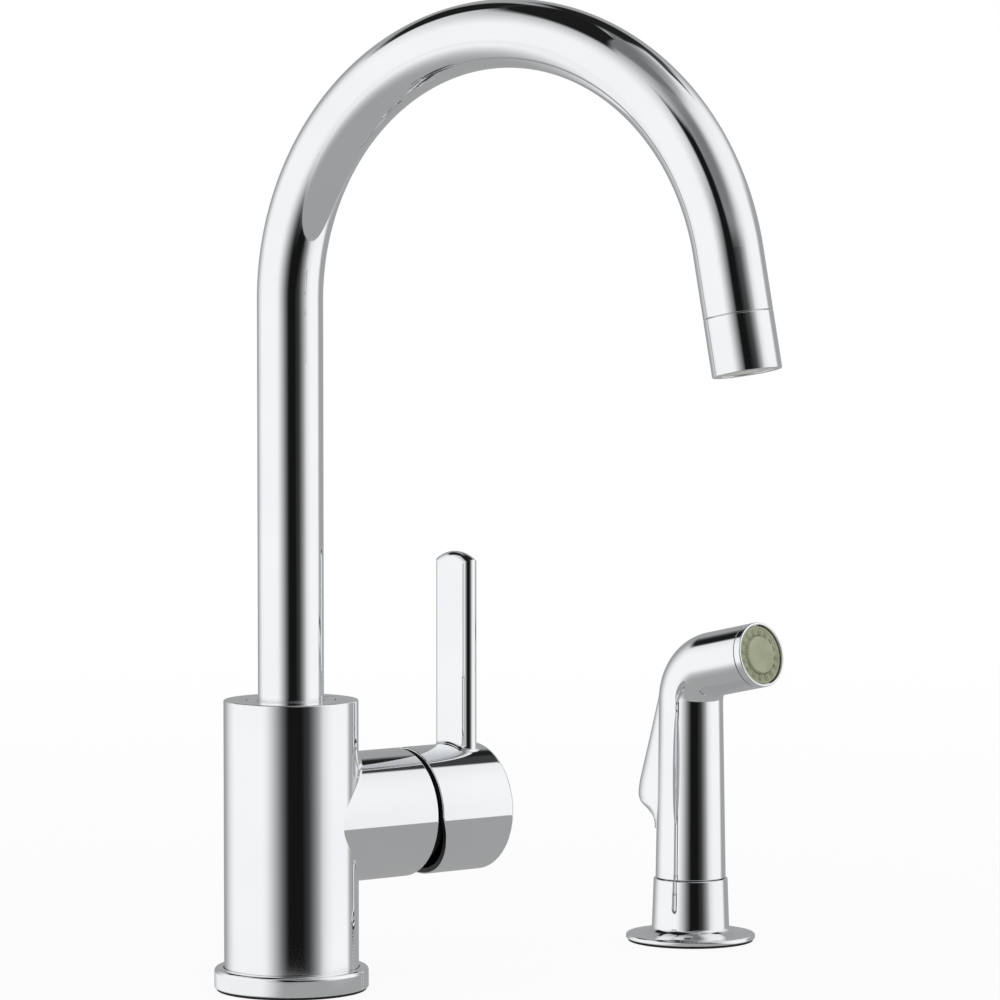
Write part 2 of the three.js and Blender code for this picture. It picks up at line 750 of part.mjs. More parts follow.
function leverHandle() {
  const bore = domeRadius - domeWall;
  const floor = domeEnd - domeEndWall;
  const edge = [0, 30, 60, 90].map((angle) => [
    domeRadius - domeEdge * (1 - Math.cos(radians(angle))),
    domeEnd - domeEdge * (1 - Math.sin(radians(angle))),
  ]);
  const dome = turned(
    [
      [stemRadius + fit, hubStart],
      [hubRadius, hubStart],
      [hubRadius, floor],
      [bore, floor],
      [bore, domeStart],
      [domeRadius, domeStart],
      ...edge,
      [0, domeEnd],
      [0, stemEnd + fit],
      [stemRadius + fit, stemEnd + fit],
    ],
    largeSides,
  );
  return cut(
    join(alongX(dome), leverBlade()),
    rimWedge(),
    rod(setScrewRadius + fit, -hubRadius - beyond, 0, smallSides).translate(setScrewAt, 0, 0),
    rod(plugRadius + fit, -domeRadius - beyond, fit - bore, smallSides).translate(setScrewAt, 0, 0),
  );
}

function addHandle(group) {
  const screwTop = -stemRadius - fit;
  const plugTop = fit - (domeRadius - domeWall);
  piece('lever_handle', leverHandle(), chrome, group);
  piece(
    'handle_set_screw',
    rod(setScrewRadius, screwTop - setScrewLength, screwTop, smallSides).translate(setScrewAt, 0, 0),
    steel,
    group,
  );
  piece(
    'handle_plug',
    rod(plugRadius, plugTop - plugThickness, plugTop, smallSides).translate(setScrewAt, 0, 0),
    greyPlastic,
    group,
  );
}

// ---- Spout, built with its reach along X in a group turned to the spout's azimuth ----

const gooseneck = new BentPath({
  from: spoutHubBottom + spoutHubFloor + fit,
  arcStart: bendStart,
  radius: bendRadius,
  sweep: bendSweep,
  tail: tubeTail,
  arcSteps: spoutSteps,
});

function spoutHub() {
  const bore = tubeRadius + fit;
  const lip = tubeRadius - tubeWall;
  const grooveRadius = spoutHubRadius - grooveDepth;
  const groove = (start) => [
    [spoutHubRadius, spoutHubBottom + start],
    [grooveRadius, spoutHubBottom + start],
    [grooveRadius, spoutHubBottom + start + grooveWidth],
    [spoutHubRadius, spoutHubBottom + start + grooveWidth],
  ];
  return turned([
    [lip, spoutHubBottom],
    [spoutHubRadius, spoutHubBottom],
    ...groove(lowerGroove),
    ...groove(upperGroove),
    [spoutHubRadius, spoutHubTop],
    [bore, spoutHubTop],
    [bore, spoutHubBottom + spoutHubFloor],
    [lip, spoutHubBottom + spoutHubFloor],
  ]);
}

// C-shaped ring in the body's groove, which keeps the spout's hub down.
function retainingRing() {
  const outer = spoutHubRadius + retainerReach;
  const opening = new THREE.Shape();
  opening.moveTo(0, 0);
  for (const side of [-1, 1]) {
    const angle = radians(180 + (side * retainerGap) / 2);
    opening.lineTo(2 * outer * Math.cos(angle), 2 * outer * Math.sin(angle));
  }
  const wedge = new THREE.ExtrudeGeometry(opening, { depth: retainerThickness + 2 * beyond, bevelEnabled: false });
  return cut(
    pipe(outer, tubeRadius + 2 * fit, retainerStart, retainerStart + retainerThickness),
    wedge.translate(0, 0, retainerStart - beyond),
  );
}

function aeratorShell() {
  const bore = tubeRadius - aeratorWall;
  const spigotRadius = tubeRadius - tubeWall - fit;
  const spigotBore = spigotRadius - aeratorWall;
  const shoulder = fit + aeratorWall;
  return turned([
    [spigotBore, -aeratorSpigot],
    [spigotRadius, -aeratorSpigot],
    [spigotRadius, fit],
    [tubeRadius, fit],
    [tubeRadius, fit + aeratorLength - aeratorChamfer],
    [tubeRadius - aeratorChamfer, fit + aeratorLength],
    [bore, fit + aeratorLength],
    [bore, shoulder],
    [spigotBore, shoulder],
  ]);
}

function aeratorInsert() {
  const radius = tubeRadius - aeratorWall - fit;
  const end = fit + aeratorLength - aeratorRecess;
  const start = end - aeratorInsertLength;
  const gridStart = end - aeratorGridThickness;
  const cup = turned([
    [0, gridStart],
    [radius - aeratorInsertWall, gridStart],
    [radius - aeratorInsertWall, start],
    [radius, start],
    [radius, end],
    [0, end],
  ]);
  const hole = () => rod(aeratorHoleRadius, gridStart - beyond, end + beyond, tinySides);
  const ringHoles = circlePoints(aeratorHoleCircle, aeratorHoles).map(({ x, y }) => hole().translate(x, y, 0));
  return cut(cup, hole(), ...ringHoles);
}

function addSpout(group) {
  const ringRadius = spoutHubRadius - grooveDepth + grooveDepth / 2 + fit / 2;
  const ringAt = (start) => spoutHubBottom + start + grooveWidth / 2;
  const washerStart = fit + aeratorWall + fit;
  const washerBore = tubeRadius - tubeWall - fit - aeratorWall;
  const outlet = new THREE.Group();
  const tubeEnd = gooseneck.getPoint(1);
  outlet.position.copy(tubeEnd);
  outlet.rotation.y = radians(bendSweep);
  piece('spout_tube', bentBar(gooseneck, tubeRadius, tubeRadius - tubeWall), chrome, group);
  piece('spout_hub', spoutHub(), brass, group);
  piece('lower_spout_seal', sealRing(ringRadius, ringSection, ringAt(lowerGroove)), rubber, group);
  piece('upper_spout_seal', sealRing(ringRadius, ringSection, ringAt(upperGroove)), rubber, group);
  piece('aerator_shell', aeratorShell(), chrome, outlet);
  piece(
    'aerator_washer',
    pipe(tubeRadius - aeratorWall - fit, washerBore, washerStart, washerStart + aeratorWasherThickness),
    rubber,
    outlet,
  );
  piece('aerator_insert', aeratorInsert(), whitePlastic, outlet);
  group.add(outlet);
}

// Ring and bush that hold the spout stay in the body when the spout turns.
function addSpoutBearing(group) {
  piece('spout_retaining_ring', retainingRing(), steel, group);
  piece('spout_bush', pipe(bushRadius, tubeRadius + fit, bushStart, bodyTop), chrome, group);
}

// ---- Side spray holder ----

function sprayHolder() {
  const flangeTop = flangeBottom + flangeThickness;
  const flare = [0.25, 0.5, 0.75].map((share) => [
    THREE.MathUtils.lerp(flangeRadius - smallEdge, sleeveFootRadius, Math.sin((share * Math.PI) / 2)),
    THREE.MathUtils.lerp(flangeTop + smallEdge, sleeveFoot, 1 - Math.cos((share * Math.PI) / 2)),
  ]);
  return turned(
    [
      [holderShankRadius - holderShankWall, -holderShankDrop],
      [holderShankRadius, -holderShankDrop],
      [holderShankRadius, flangeBottom],
      [flangeRadius - smallEdge, flangeBottom],
      [flangeRadius, flangeBottom + smallEdge],
      [flangeRadius, flangeTop],
      [flangeRadius - smallEdge, flangeTop + smallEdge],
      ...flare,
      [sleeveFootRadius, sleeveFoot],
      [sleeveTopRadius, sleeveTop - smallEdge],
      [sleeveTopRadius - smallEdge, sleeveTop],
      [sleeveBore, sleeveTop],
      [sleeveBore, flangeTop],
      [holderShankRadius - holderShankWall, flangeTop],
    ],
    largeSides,
  );
}

function addHolder(group) {
  const insertBottom = flangeBottom + flangeThickness + fit;
  piece(
    'holder_gasket',
    pipe(flangeRadius - gasketInset, holderShankRadius + fit, 0, gasketThickness),
    rubber,
    group,
  );
  piece('spray_holder', sprayHolder(), chrome, group);
  piece('holder_insert', pipe(insertRadius, insertBore, insertBottom, sleeveTop - fit), blackPlastic, group);
  piece(
    'holder_nut',
    nut(holderNutRadius, holderShankRadius + fit, deckUnderside - holderNutHeight, deckUnderside),
    blackPlastic,
    group,
  );
}

// ---- Spray wand, built with its head along X in a group turned to the head's azimuth ----

// Path of the wand's axis, from a height on the grip to a distance along the head.
const wandPath = (from, headEnd) =>
  new BentPath({
    from,
    arcStart: elbowStart,
    radius: elbowRadius,
    sweep: headSweep,
    tail: headEnd - elbowTangent,
    arcSteps: elbowSteps,
  });

const triggerHalfWidth = (height) => {
  const share = (height - triggerBottom) / (triggerTop - triggerBottom);
  return THREE.MathUtils.lerp(triggerFootWidth, triggerTopWidth, share) / 2;
};

// Outline of the trigger's back as [height, reach], from its foot to its top.
function triggerBack() {
  const between = THREE.MathUtils.lerp;
  return [
    ...footSweep.map(([rise, out]) => [
      between(triggerBottom, triggerTip, rise),
      between(triggerFootReach, triggerTipReach, out),
    ]),
    ...[0, 0.25, 0.5, 0.75, 1].map((share) => [
      between(triggerTip + tipRounding, triggerTop, share),
      between(triggerTipReach - tipRelief, triggerTopReach, share),
    ]),
  ];
}

// Half of a superellipse that opens towards +X, from one cheek's front edge round the back to the other's.
function triggerArc(depth, halfWidth) {
  const power = 2 / triggerRoundness;
  const points = [];
  for (let i = 0; i <= cheekSteps; i += 1) {
    const angle = (Math.PI * i) / cheekSteps;
    const across = Math.cos(angle);
    const back = Math.max(Math.sin(angle), 0) ** power;
    points.push([-triggerFront - depth * back, halfWidth * Math.sign(across) * Math.abs(across) ** power]);
  }
  return points;
}

// Channel that straddles the waterway: its two cheeks carry the pin and its back is pressed by the hand.
function trigger() {
  const rings = triggerBack().map(([height, reach]) => {
    const depth = reach - triggerFront;
    const halfWidth = triggerHalfWidth(height);
    const outer = triggerArc(depth, halfWidth);
    const inner = triggerArc(depth - triggerWall, halfWidth - triggerWall).reverse();
    return [...outer, ...inner].map(([x, y]) => [x, y, height]);
  });
  const outline = rings[0].map(([x, y]) => new THREE.Vector2(x, y));
  return cut(
    lofted(rings, outline),
    alongY(rod(pivotPinRadius + fit, -pivotPinLength / 2 - fit, pivotPinLength / 2 + fit, smallSides))
      .translate(-pivotSetback, 0, pivotHeight),
  );
}

// Opening in the back of the grip that the trigger moves through: a trapezium a little larger than the trigger.
function triggerWindow() {
  const outline = new THREE.Shape();
  const foot = triggerBottom - windowClearance;
  const top = triggerTop + windowClearance;
  const footHalf = triggerHalfWidth(foot) + windowClearance;
  const topHalf = triggerHalfWidth(top) + windowClearance;
  outline.moveTo(-footHalf, foot);
  outline.lineTo(footHalf, foot);
  outline.lineTo(topHalf, top);
  outline.lineTo(-topHalf, top);
  const deep = gripFootRadius + beyond;
  const window = new THREE.ExtrudeGeometry(outline, { depth: deep - windowFront, bevelEnabled: false });
  return window.rotateX(Math.PI / 2).rotateZ(Math.PI / 2).translate(-deep, 0, 0);
}

function wandShell() {
  const lap = 20; // of the straight tube inside the tapered grip
  const spigotBore = spigotRadius - shellWall;
  const outside = join(
    turned(
      [
        [0, spigotBottom],
        [spigotRadius, spigotBottom],
        [spigotRadius, gripBottom],
        [gripFootRadius, gripBottom],
        [gripTopRadius, gripTaperTop],
        [0, gripTaperTop],
      ],
      largeSides,
    ),
    bentBar(wandPath(gripTaperTop - lap, shellEnd), gripTopRadius, 0, largeSides),
  );
  return cut(
    outside,
    rod(spigotBore, spigotBottom - beyond, gripTaperTop - lap),
    bentBar(wandPath(gripBottom + shellWall, shellEnd + beyond), headBore),
    triggerWindow(),
  );
}

// Tube from the hose to the spray face, with the valve's boss and the lug that the trigger hangs on.
function waterway() {
  const flange = rod(spigotRadius - shellWall - fit, waterwayStart, waterwayStart + waterwayFlange);
  const lugHalf = lugWidth / 2;
  const lugReach = pivotSetback + pivotPinRadius + fit + lugWall;
  const outside = join(
    bentBar(wandPath(waterwayStart, coreStart - fit), waterwayRadius, 0, smallSides),
    flange,
    box([-lugReach, -lugHalf, pivotHeight - lugHeight / 2], [0, lugHalf, pivotHeight + lugHeight / 2]),
    alongX(rod(valveBossRadius, -valveBossSetback, 0, smallSides)).translate(0, 0, plungerHeight),
  );
  return cut(
    outside,
    bentBar(wandPath(waterwayStart - beyond, coreStart + beyond), waterwayBore, 0, smallSides),
    alongX(rod(plungerPistonRadius + fit, -valveBossSetback - beyond, 0, smallSides)).translate(0, 0, plungerHeight),
    alongY(rod(pivotPinRadius + fit, -lugHalf - beyond, lugHalf + beyond, smallSides))
      .translate(-pivotSetback, 0, pivotHeight),
  );
}

function plungerGroove() {
  const centre = plungerPistonSetback - plungerPistonLength / 2;
  return { centre, halfWidth: plungerGrooveWidth / 2, radius: plungerPistonRadius - plungerGrooveDepth };
}

function plunger() {
  const groove = plungerGroove();
  const collarEnd = plungerCollarSetback - plungerCollarThickness;
  const rounded = plungerTipRadius / 3;
  return alongX(
    turned(
      [
        [0, -plungerTip],
        [plungerTipRadius - rounded, -plungerTip],
        [plungerTipRadius, rounded - plungerTip],
        [plungerTipRadius, -plungerCollarSetback],
        [plungerCollarRadius, -plungerCollarSetback],
        [plungerCollarRadius, -collarEnd],
        [plungerRodRadius, -collarEnd],
        [plungerRodRadius, -plungerPistonSetback],
        [plungerPistonRadius, -plungerPistonSetback],
        [plungerPistonRadius, -groove.centre - groove.halfWidth],
        [groove.radius, -groove.centre - groove.halfWidth],
        [groove.radius, groove.halfWidth - groove.centre],
        [plungerPistonRadius, groove.halfWidth - groove.centre],
        [plungerPistonRadius, plungerPistonLength - plungerPistonSetback],
        [0, plungerPistonLength - plungerPistonSetback],
      ],
      smallSides,
    ),
  );
}

// Wire wound about X, between the valve's boss and the plunger's collar.
function plungerSpring() {
  const clear = fit + springWireRadius;
  const start = -plungerCollarSetback + plungerCollarThickness + clear;
  const length = -valveBossSetback - clear - start;
  const wire = new (class extends THREE.Curve {
    getPoint(t, target = new THREE.Vector3()) {
      const angle = 2 * Math.PI * springTurns * t;
      return target.set(start + length * t, springRadius * Math.cos(angle), springRadius * Math.sin(angle));
    }
  })();
  const section = new THREE.Shape(circlePoints(springWireRadius, 5));
  return welded(
    new THREE.ExtrudeGeometry(section, { steps: springTurns * springSteps, extrudePath: wire }),
  );
}

function addWand(group) {
  const head = new THREE.Group();
  head.position.z = elbowHeight;
  head.rotation.y = radians(headSweep);
  const couplingTop = waterwayStart - fit;
  const bezelBore = gripTopRadius - bezelWall;
  const core = turned([
    [waterwayBore, coreStart],
    [headBore - fit, coreStart],
    [headBore - fit, coreStart + coreLength],
    [headBore - fit - coreWall, coreStart + coreLength],
    [headBore - fit - coreWall, coreStart + coreFloor],
    [waterwayBore, coreStart + coreFloor],
  ]);
  const face = turned([
    [0, faceStart],
    [headBore - fit, faceStart],
    [headBore - fit, bezelStart],
    [bezelBore - fit, bezelStart],
    [bezelBore - fit, faceFront],
    [faceDiscRadius + faceDiscDraft, faceFront],
    [faceDiscRadius, headLength],
    [0, headLength],
  ]);
  const bezel = turned([
    [bezelBore, bezelStart],
    [gripTopRadius, bezelStart],
    [gripTopRadius, headLength - smallEdge],
    [gripTopRadius - smallEdge, headLength],
    [bezelBore, headLength],
  ], largeSides);
  piece('wand_shell', wandShell(), chrome, group);
  piece('wand_waterway', waterway(), whitePlastic, group);
  piece('hose_coupling', pipe(couplingRadius, waterwayBore, couplingTop - couplingLength, couplingTop), brass, group);
  piece(
    'trigger_pin',
    alongY(rod(pivotPinRadius, -pivotPinLength / 2, pivotPinLength / 2, smallSides))
      .translate(-pivotSetback, 0, pivotHeight),
    steel,
    group,
  );
  piece('nozzle_core', core, whitePlastic, head);
  piece('spray_face', face, facePlastic, head);
  piece('face_bezel', bezel, chrome, head);
  group.add(head);
}

function addTrigger(group) {
  const groove = plungerGroove();
  const sealRadius = (groove.radius + plungerPistonRadius + fit) / 2;
  const valve = new THREE.Group();
  valve.position.z = plungerHeight;
  piece('spray_trigger', trigger(), chrome, group);
  piece('valve_plunger', plunger(), brass, valve);
  piece(
    'plunger_seal',
    alongX(sealRing(sealRadius, plungerSealSection, 0, smallSides)).translate(-groove.centre, 0, 0),
    rubber,
    valve,
  );
  piece('plunger_spring', plungerSpring(), steel, valve);
  group.add(valve);
}

// ---- Assembly ----

const faucet = new THREE.Group();
const valve = new THREE.Group();
const spout = new THREE.Group();
const spray = new THREE.Group();
const wand = new THREE.Group();

valve.position.z = valveHeight;
spout.rotation.z = radians(spoutAzimuth);
spray.position.x = sprayDistance;
wand.rotation.z = radians(headAzimuth);
spray.add(wand);
faucet.add(valve, spout, spray);

addBase(faucet);
addDiverter(faucet);
addCartridge(valve);
addHandle(valve);
addSpout(spout);
addSpoutBearing(faucet);
addHolder(spray);
addWand(wand);
addTrigger(wand);

export default faucet;
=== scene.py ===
"""Looks of the side spray kitchen faucet: fine meshes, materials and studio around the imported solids.

Lengths here are in millimetres, in the frame of the part, and become metres where a mesh is made.
"""

import json
import math

import bpy
from mathutils import Matrix, Vector


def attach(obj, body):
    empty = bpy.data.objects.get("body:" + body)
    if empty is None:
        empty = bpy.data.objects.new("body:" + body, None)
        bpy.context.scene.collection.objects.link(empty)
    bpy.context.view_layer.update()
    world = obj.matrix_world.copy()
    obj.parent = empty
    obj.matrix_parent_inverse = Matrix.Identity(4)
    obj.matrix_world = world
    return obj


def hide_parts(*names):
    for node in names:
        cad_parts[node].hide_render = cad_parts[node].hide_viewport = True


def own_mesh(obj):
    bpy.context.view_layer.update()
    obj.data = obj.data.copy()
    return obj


MM = 0.001
TAU = 2 * math.pi

# ---- Camera, solved from the photograph ----
CAMERA_PLACE = (-0.9970, -1.3923, 0.2770)
CAMERA_HEADING = (0.6198, 0.7848)
CAMERA_PITCH = 2.945  # degrees below the horizon
CAMERA_LENS = 160.48  # on a 36 mm wide sensor

# ---- Sizes shared with the solids ----
FIT = 0.3
EDGE = 0.4
SPRAY_DISTANCE = 203.2
SPOUT_AZIMUTH = -72.4
HEAD_AZIMUTH = -83.3
BODY_RADIUS = 26.0
BODY_BOTTOM = 6.6
BODY_TOP = 112.1
BODY_BORE = 16.3
VALVE_HEIGHT = 64.7
BOSS_RADIUS = 25.2
BOSS_REACH = 52.5
BOSS_FILLET = 2.6
SHANK_RADIUS = 16.0
SHANK_BORE = 13.2
SHANK_BOTTOM = -45.0
SHANK_TOP = 20.6
CLAMP_BORE = 16.3  # of the seal, the washer and the nut on the shank
CLAMP_RADIUS = 28.0
NUT_RADIUS = 24.0
NUT_BOTTOM = -23.2
NUT_TOP = -14.2
NIPPLE_OFFSET = 8.2
NIPPLE_BORE = 2.8
NIPPLE_RADIUS = 4.3
NIPPLE_BOTTOM = -57.3
NIPPLE_TOP = 32.6
COLLAR_RADIUS = 6.2
COLLAR_TOP = -45.3
TUBE_RADIUS = 12.7
TUBE_WALL = 1.5
BEND_START = 265.8
BEND_RADIUS = 98.85
BEND_SWEEP = 169.5
TUBE_TAIL = 23.0
TUBE_FOOT = 82.0
AERATOR_LENGTH = 21.0
DOME_RADIUS = 25.25
DOME_WALL = 2.35
DOME_START = 54.7
DOME_END = 90.0
RIM_RELIEF = 7.8
PLUG_PLACE = 74.0  # along the valve's axis
PLUG_TOP = -22.6
LEVER_CENTRE = 80.5
LEVER_TOP = 166.3
LEVER_WIDTH = 21.5
LEVER_THICKNESS = 7.1
LEVER_CROWN = 3.0
LEVER_FILLET = 2.0
HOLDER_SHANK_RADIUS = 14.2
HOLDER_BORE = 12.9
HOLDER_BOTTOM = -38.0
HOLDER_TOP = 26.0
FLANGE_RADIUS = 26.7
HOLDER_NUT_RADIUS = 20.0
HOLDER_NUT_BOTTOM = -18.0
HOLDER_NUT_TOP = -10.0
GRIP_BOTTOM = 26.3
GRIP_FOOT_RADIUS = 14.5
GRIP_RADIUS = 13.3
GRIP_TAPER_TOP = 97.0
SHELL_WALL = 1.5
WAND_BORE = GRIP_RADIUS - SHELL_WALL
SPIGOT_RADIUS = 12.4
SPIGOT_BORE = SPIGOT_RADIUS - SHELL_WALL
ELBOW_HEIGHT = 112.7
ELBOW_RADIUS = 16.0
HEAD_TILT = 12.0
HEAD_LENGTH = 39.9
HEAD_SWEEP = 90 - HEAD_TILT
ELBOW_TANGENT = ELBOW_RADIUS * math.tan(math.radians(HEAD_SWEEP / 2))
ELBOW_START = ELBOW_HEIGHT - ELBOW_TANGENT
BEZEL_START = 36.7
FACE_FRONT = 39.0
PIVOT_HEIGHT = 100.0
TRIGGER_FRONT = 6.5
TRIGGER_WALL = 1.8
TRIGGER_LOW = PIVOT_HEIGHT - 54
TRIGGER_HIGH = PIVOT_HEIGHT + 4
TRIGGER_LOW_WIDTH = 20.6
TRIGGER_HIGH_WIDTH = 15.0
WINDOW_GAP = 0.4

# ---- Sizes of the fine meshes alone ----
NOZZLE_COUNT = 16
NOZZLE_RING = 9.55

scene = bpy.context.scene


def look_from_photograph():
    camera = bpy.data.objects.new("camera", bpy.data.cameras.new("camera"))
    scene.collection.objects.link(camera)
    pitch = math.radians(CAMERA_PITCH)
    x, y = CAMERA_HEADING
    ahead = Vector((x * math.cos(pitch), y * math.cos(pitch), -math.sin(pitch)))
    camera.location = CAMERA_PLACE
    camera.rotation_euler = ahead.to_track_quat("-Z", "Y").to_euler()
    camera.data.lens = CAMERA_LENS
    camera.data.sensor_width = 36
    camera.data.clip_start = 0.05
    camera.data.clip_end = 60
    scene.camera = camera


look_from_photograph()
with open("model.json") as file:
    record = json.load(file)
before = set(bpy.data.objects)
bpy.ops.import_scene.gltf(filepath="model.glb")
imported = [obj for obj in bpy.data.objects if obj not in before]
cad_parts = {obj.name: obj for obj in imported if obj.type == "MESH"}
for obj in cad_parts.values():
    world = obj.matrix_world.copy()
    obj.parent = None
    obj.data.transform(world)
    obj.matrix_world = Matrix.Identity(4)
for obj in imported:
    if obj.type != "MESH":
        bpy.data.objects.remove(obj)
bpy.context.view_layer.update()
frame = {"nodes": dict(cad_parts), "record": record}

# ---- Frames of the assembly's groups ----
VALVE = Matrix.Translation((0, 0, VALVE_HEIGHT))
ALONG_X = Matrix.Rotation(math.pi / 2, 4, "Y")
SPOUT = Matrix.Rotation(math.radians(SPOUT_AZIMUTH), 4, "Z")
SPRAY = Matrix.Translation((SPRAY_DISTANCE, 0, 0))
WAND = SPRAY @ Matrix.Rotation(math.radians(HEAD_AZIMUTH), 4, "Z")
HEAD = WAND @ Matrix.Translation((0, 0, ELBOW_HEIGHT)) @ Matrix.Rotation(math.radians(HEAD_SWEEP), 4, "Y")


class Bend:
    """A centreline that runs straight up to start, round an arc towards +X, and straight on."""

    def __init__(self, start, radius, sweep):
        self.start, self.radius, self.sweep = start, radius, math.radians(sweep)
        self.arc = radius * self.sweep

    def point(self, along, across=0.0, aside=0.0):
        """The point at a length along the line. Across is towards the arc's centre, and aside is +Y."""
        angle = min(max(along - self.start, 0) / self.radius, self.sweep)
        run = max(along - self.start - self.arc, 0)
        rise = min(along, self.start)
        x = self.radius * (1 - math.cos(angle)) + run * math.sin(angle)
        z = rise + self.radius * math.sin(angle) + run * math.cos(angle)
        return Vector((x + across * math.cos(angle), aside, z - across * math.sin(angle)))


GOOSENECK = Bend(BEND_START, BEND_RADIUS, BEND_SWEEP)
TUBE_END = BEND_START + GOOSENECK.arc + TUBE_TAIL
DOWNWARDS = Matrix.Rotation(math.radians(BEND_SWEEP), 4, "Y")
OUTLET = SPOUT @ Matrix.Translation(GOOSENECK.point(TUBE_END)) @ DOWNWARDS
WAND_LINE = Bend(ELBOW_START, ELBOW_RADIUS, HEAD_SWEEP)
WAND_ELBOW_END = ELBOW_START + WAND_LINE.arc


# ---- Meshes ----


def made(name, points, faces, place=Matrix.Identity(4), sharp=32):
    """A smooth-shaded object from points in millimetres in the frame of place."""
    mesh = bpy.data.meshes.new(name)
    mesh.from_pydata([MM * (place @ Vector(p)) for p in points], [], faces)
    mesh.validate()
    finish_mesh(mesh, sharp)
    piece = bpy.data.objects.new(name, mesh)
    scene.collection.objects.link(piece)
    return piece


def finish_mesh(mesh, sharp=32):
    mesh.shade_smooth()
    mesh.set_sharp_from_angle(angle=math.radians(sharp))


def weighted(piece):
    """The piece's normals follow its larger faces, so that small roundings don't shade the walls."""
    modifier = piece.modifiers.new("weighted", "WEIGHTED_NORMAL")
    modifier.keep_sharp = True
    modifier.weight = 50
    bpy.context.view_layer.update()
    graph = bpy.context.evaluated_depsgraph_get()
    mesh = bpy.data.meshes.new_from_object(piece.evaluated_get(graph))
    piece.modifiers.clear()
    piece.data = mesh


def dressed(piece, node, slot, body=None):
    """The piece stands for the node, moves with its body and has its slot's material."""
    weighted(piece)
    piece.data.materials.clear()
    piece.data.materials.append(MATERIALS[slot])
    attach(piece, body or BODY_OF[node])
    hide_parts(node)
    piece.visible_glossy = node not in BELOW_DECK
    return piece


def softened(profile, steps=5):
    """A closed profile of (radius, height) or (radius, height, rounding), with its marked corners round."""
    rounded = []
    count = len(profile)
    for i, corner in enumerate(profile):
        here = Vector(corner[:2])
        if len(corner) < 3 or not corner[2]:
            rounded.append(tuple(here))
            continue
        back = (Vector(profile[i - 1][:2]) - here).normalized()
        on = (Vector(profile[(i + 1) % count][:2]) - here).normalized()
        half = back.angle(on) / 2
        reach = corner[2] / math.tan(half)
        centre = here + (back + on).normalized() * corner[2] / math.sin(half)
        first, last = here + back * reach - centre, here + on * reach - centre
        turn = first.angle_signed(last)
        for step in range(steps + 1):
            arm = first.copy()
            arm.rotate(Matrix.Rotation(-turn * step / steps, 2))
            rounded.append(tuple(centre + arm))
    return supported(rounded)


def supported(profile, least=2.5, margin=0.15):
    """The closed profile with a point near both ends of each long run, to keep a rounding's shading short."""
    points = []
    for i, here in enumerate(profile):
        points.append(here)
        start, end = Vector(here), Vector(profile[(i + 1) % len(profile)])
        run = end - start
        on_axis = max(start.x, end.x) <= 1e-6
        closes_on_axis = i + 1 == len(profile) and profile[0][0] <= 1e-6
        if run.length > least and not on_axis and not closes_on_axis:
            step = run.normalized() * margin
            if start.x > 1e-6:
                points.append(tuple(start + step))
            if end.x > 1e-6:
                points.append(tuple(end - step))
    return points


def open_wall(profile):
    """The rounded points of an open profile, from just before its first corner to its end.

    Its start is left out, because another surface leads up to it, and so is the run that would close it.
    """
    return softened(profile)[2:-1]


def spun(name, profile, sides=128, place=Matrix.Identity(4), bend=None, warp=None):
    """Closed profile turned about Z, or carried round a bend. Points on the axis become poles."""
    points, rows = [], []
    for radius, height in profile:
        row = []
        for k in range(1 if radius < 1e-6 else sides):
            angle = TAU * k / sides
            wide = warp(radius, height, angle) if warp else radius
            across, aside = wide * math.cos(angle), wide * math.sin(angle)
            row.append(len(points))
            points.append(bend.point(height, across, aside) if bend else (across, aside, height))
        rows.append(row)
    faces = []
    on_axis = len(rows[0]) == 1 and len(rows[-1]) == 1
    pairs = zip(rows, rows[1:] + ([] if on_axis else rows[:1]))
    for low, high in pairs:
        for k in range(sides):
            n = (k + 1) % sides
            if len(low) == 1 and len(high) == 1:
                break
            if len(low) == 1:
                faces.append((low[0], high[n], high[k]))
            elif len(high) == 1:
                faces.append((low[k], low[n], high[0]))
            else:
                faces.append((low[k], low[n], high[n], high[k]))
    return made(name, points, faces, place)


def boolean(target, tool, operation):
    """Joins or cuts the target with the tool, which is used up."""
    modifier = target.modifiers.new("boolean", "BOOLEAN")
    modifier.object, modifier.operation, modifier.solver = tool, operation, "EXACT"
    bpy.context.view_layer.update()
    graph = bpy.context.evaluated_depsgraph_get()
    mesh = bpy.data.meshes.new_from_object(target.evaluated_get(graph))
    target.modifiers.clear()
    target.data = mesh
    finish_mesh(mesh)
    bpy.data.objects.remove(tool)
    return target


def spaced(first, last, steps):
    """Evenly spaced numbers from the first to the last, with both ends."""
    return [first + (last - first) * i / steps for i in range(steps + 1)]


def arc_between(first, last, shares):
    """Arms turned from one to the other of the same length, by shares of the whole angle."""
    turn = first.rotation_difference(last)
    arms = []
    for share in shares:
        arm = first.copy()
        arm.rotate(Matrix.Rotation(turn.angle * share, 3, turn.axis))
        arms.append(arm)
    return arms


# ---- Materials ----


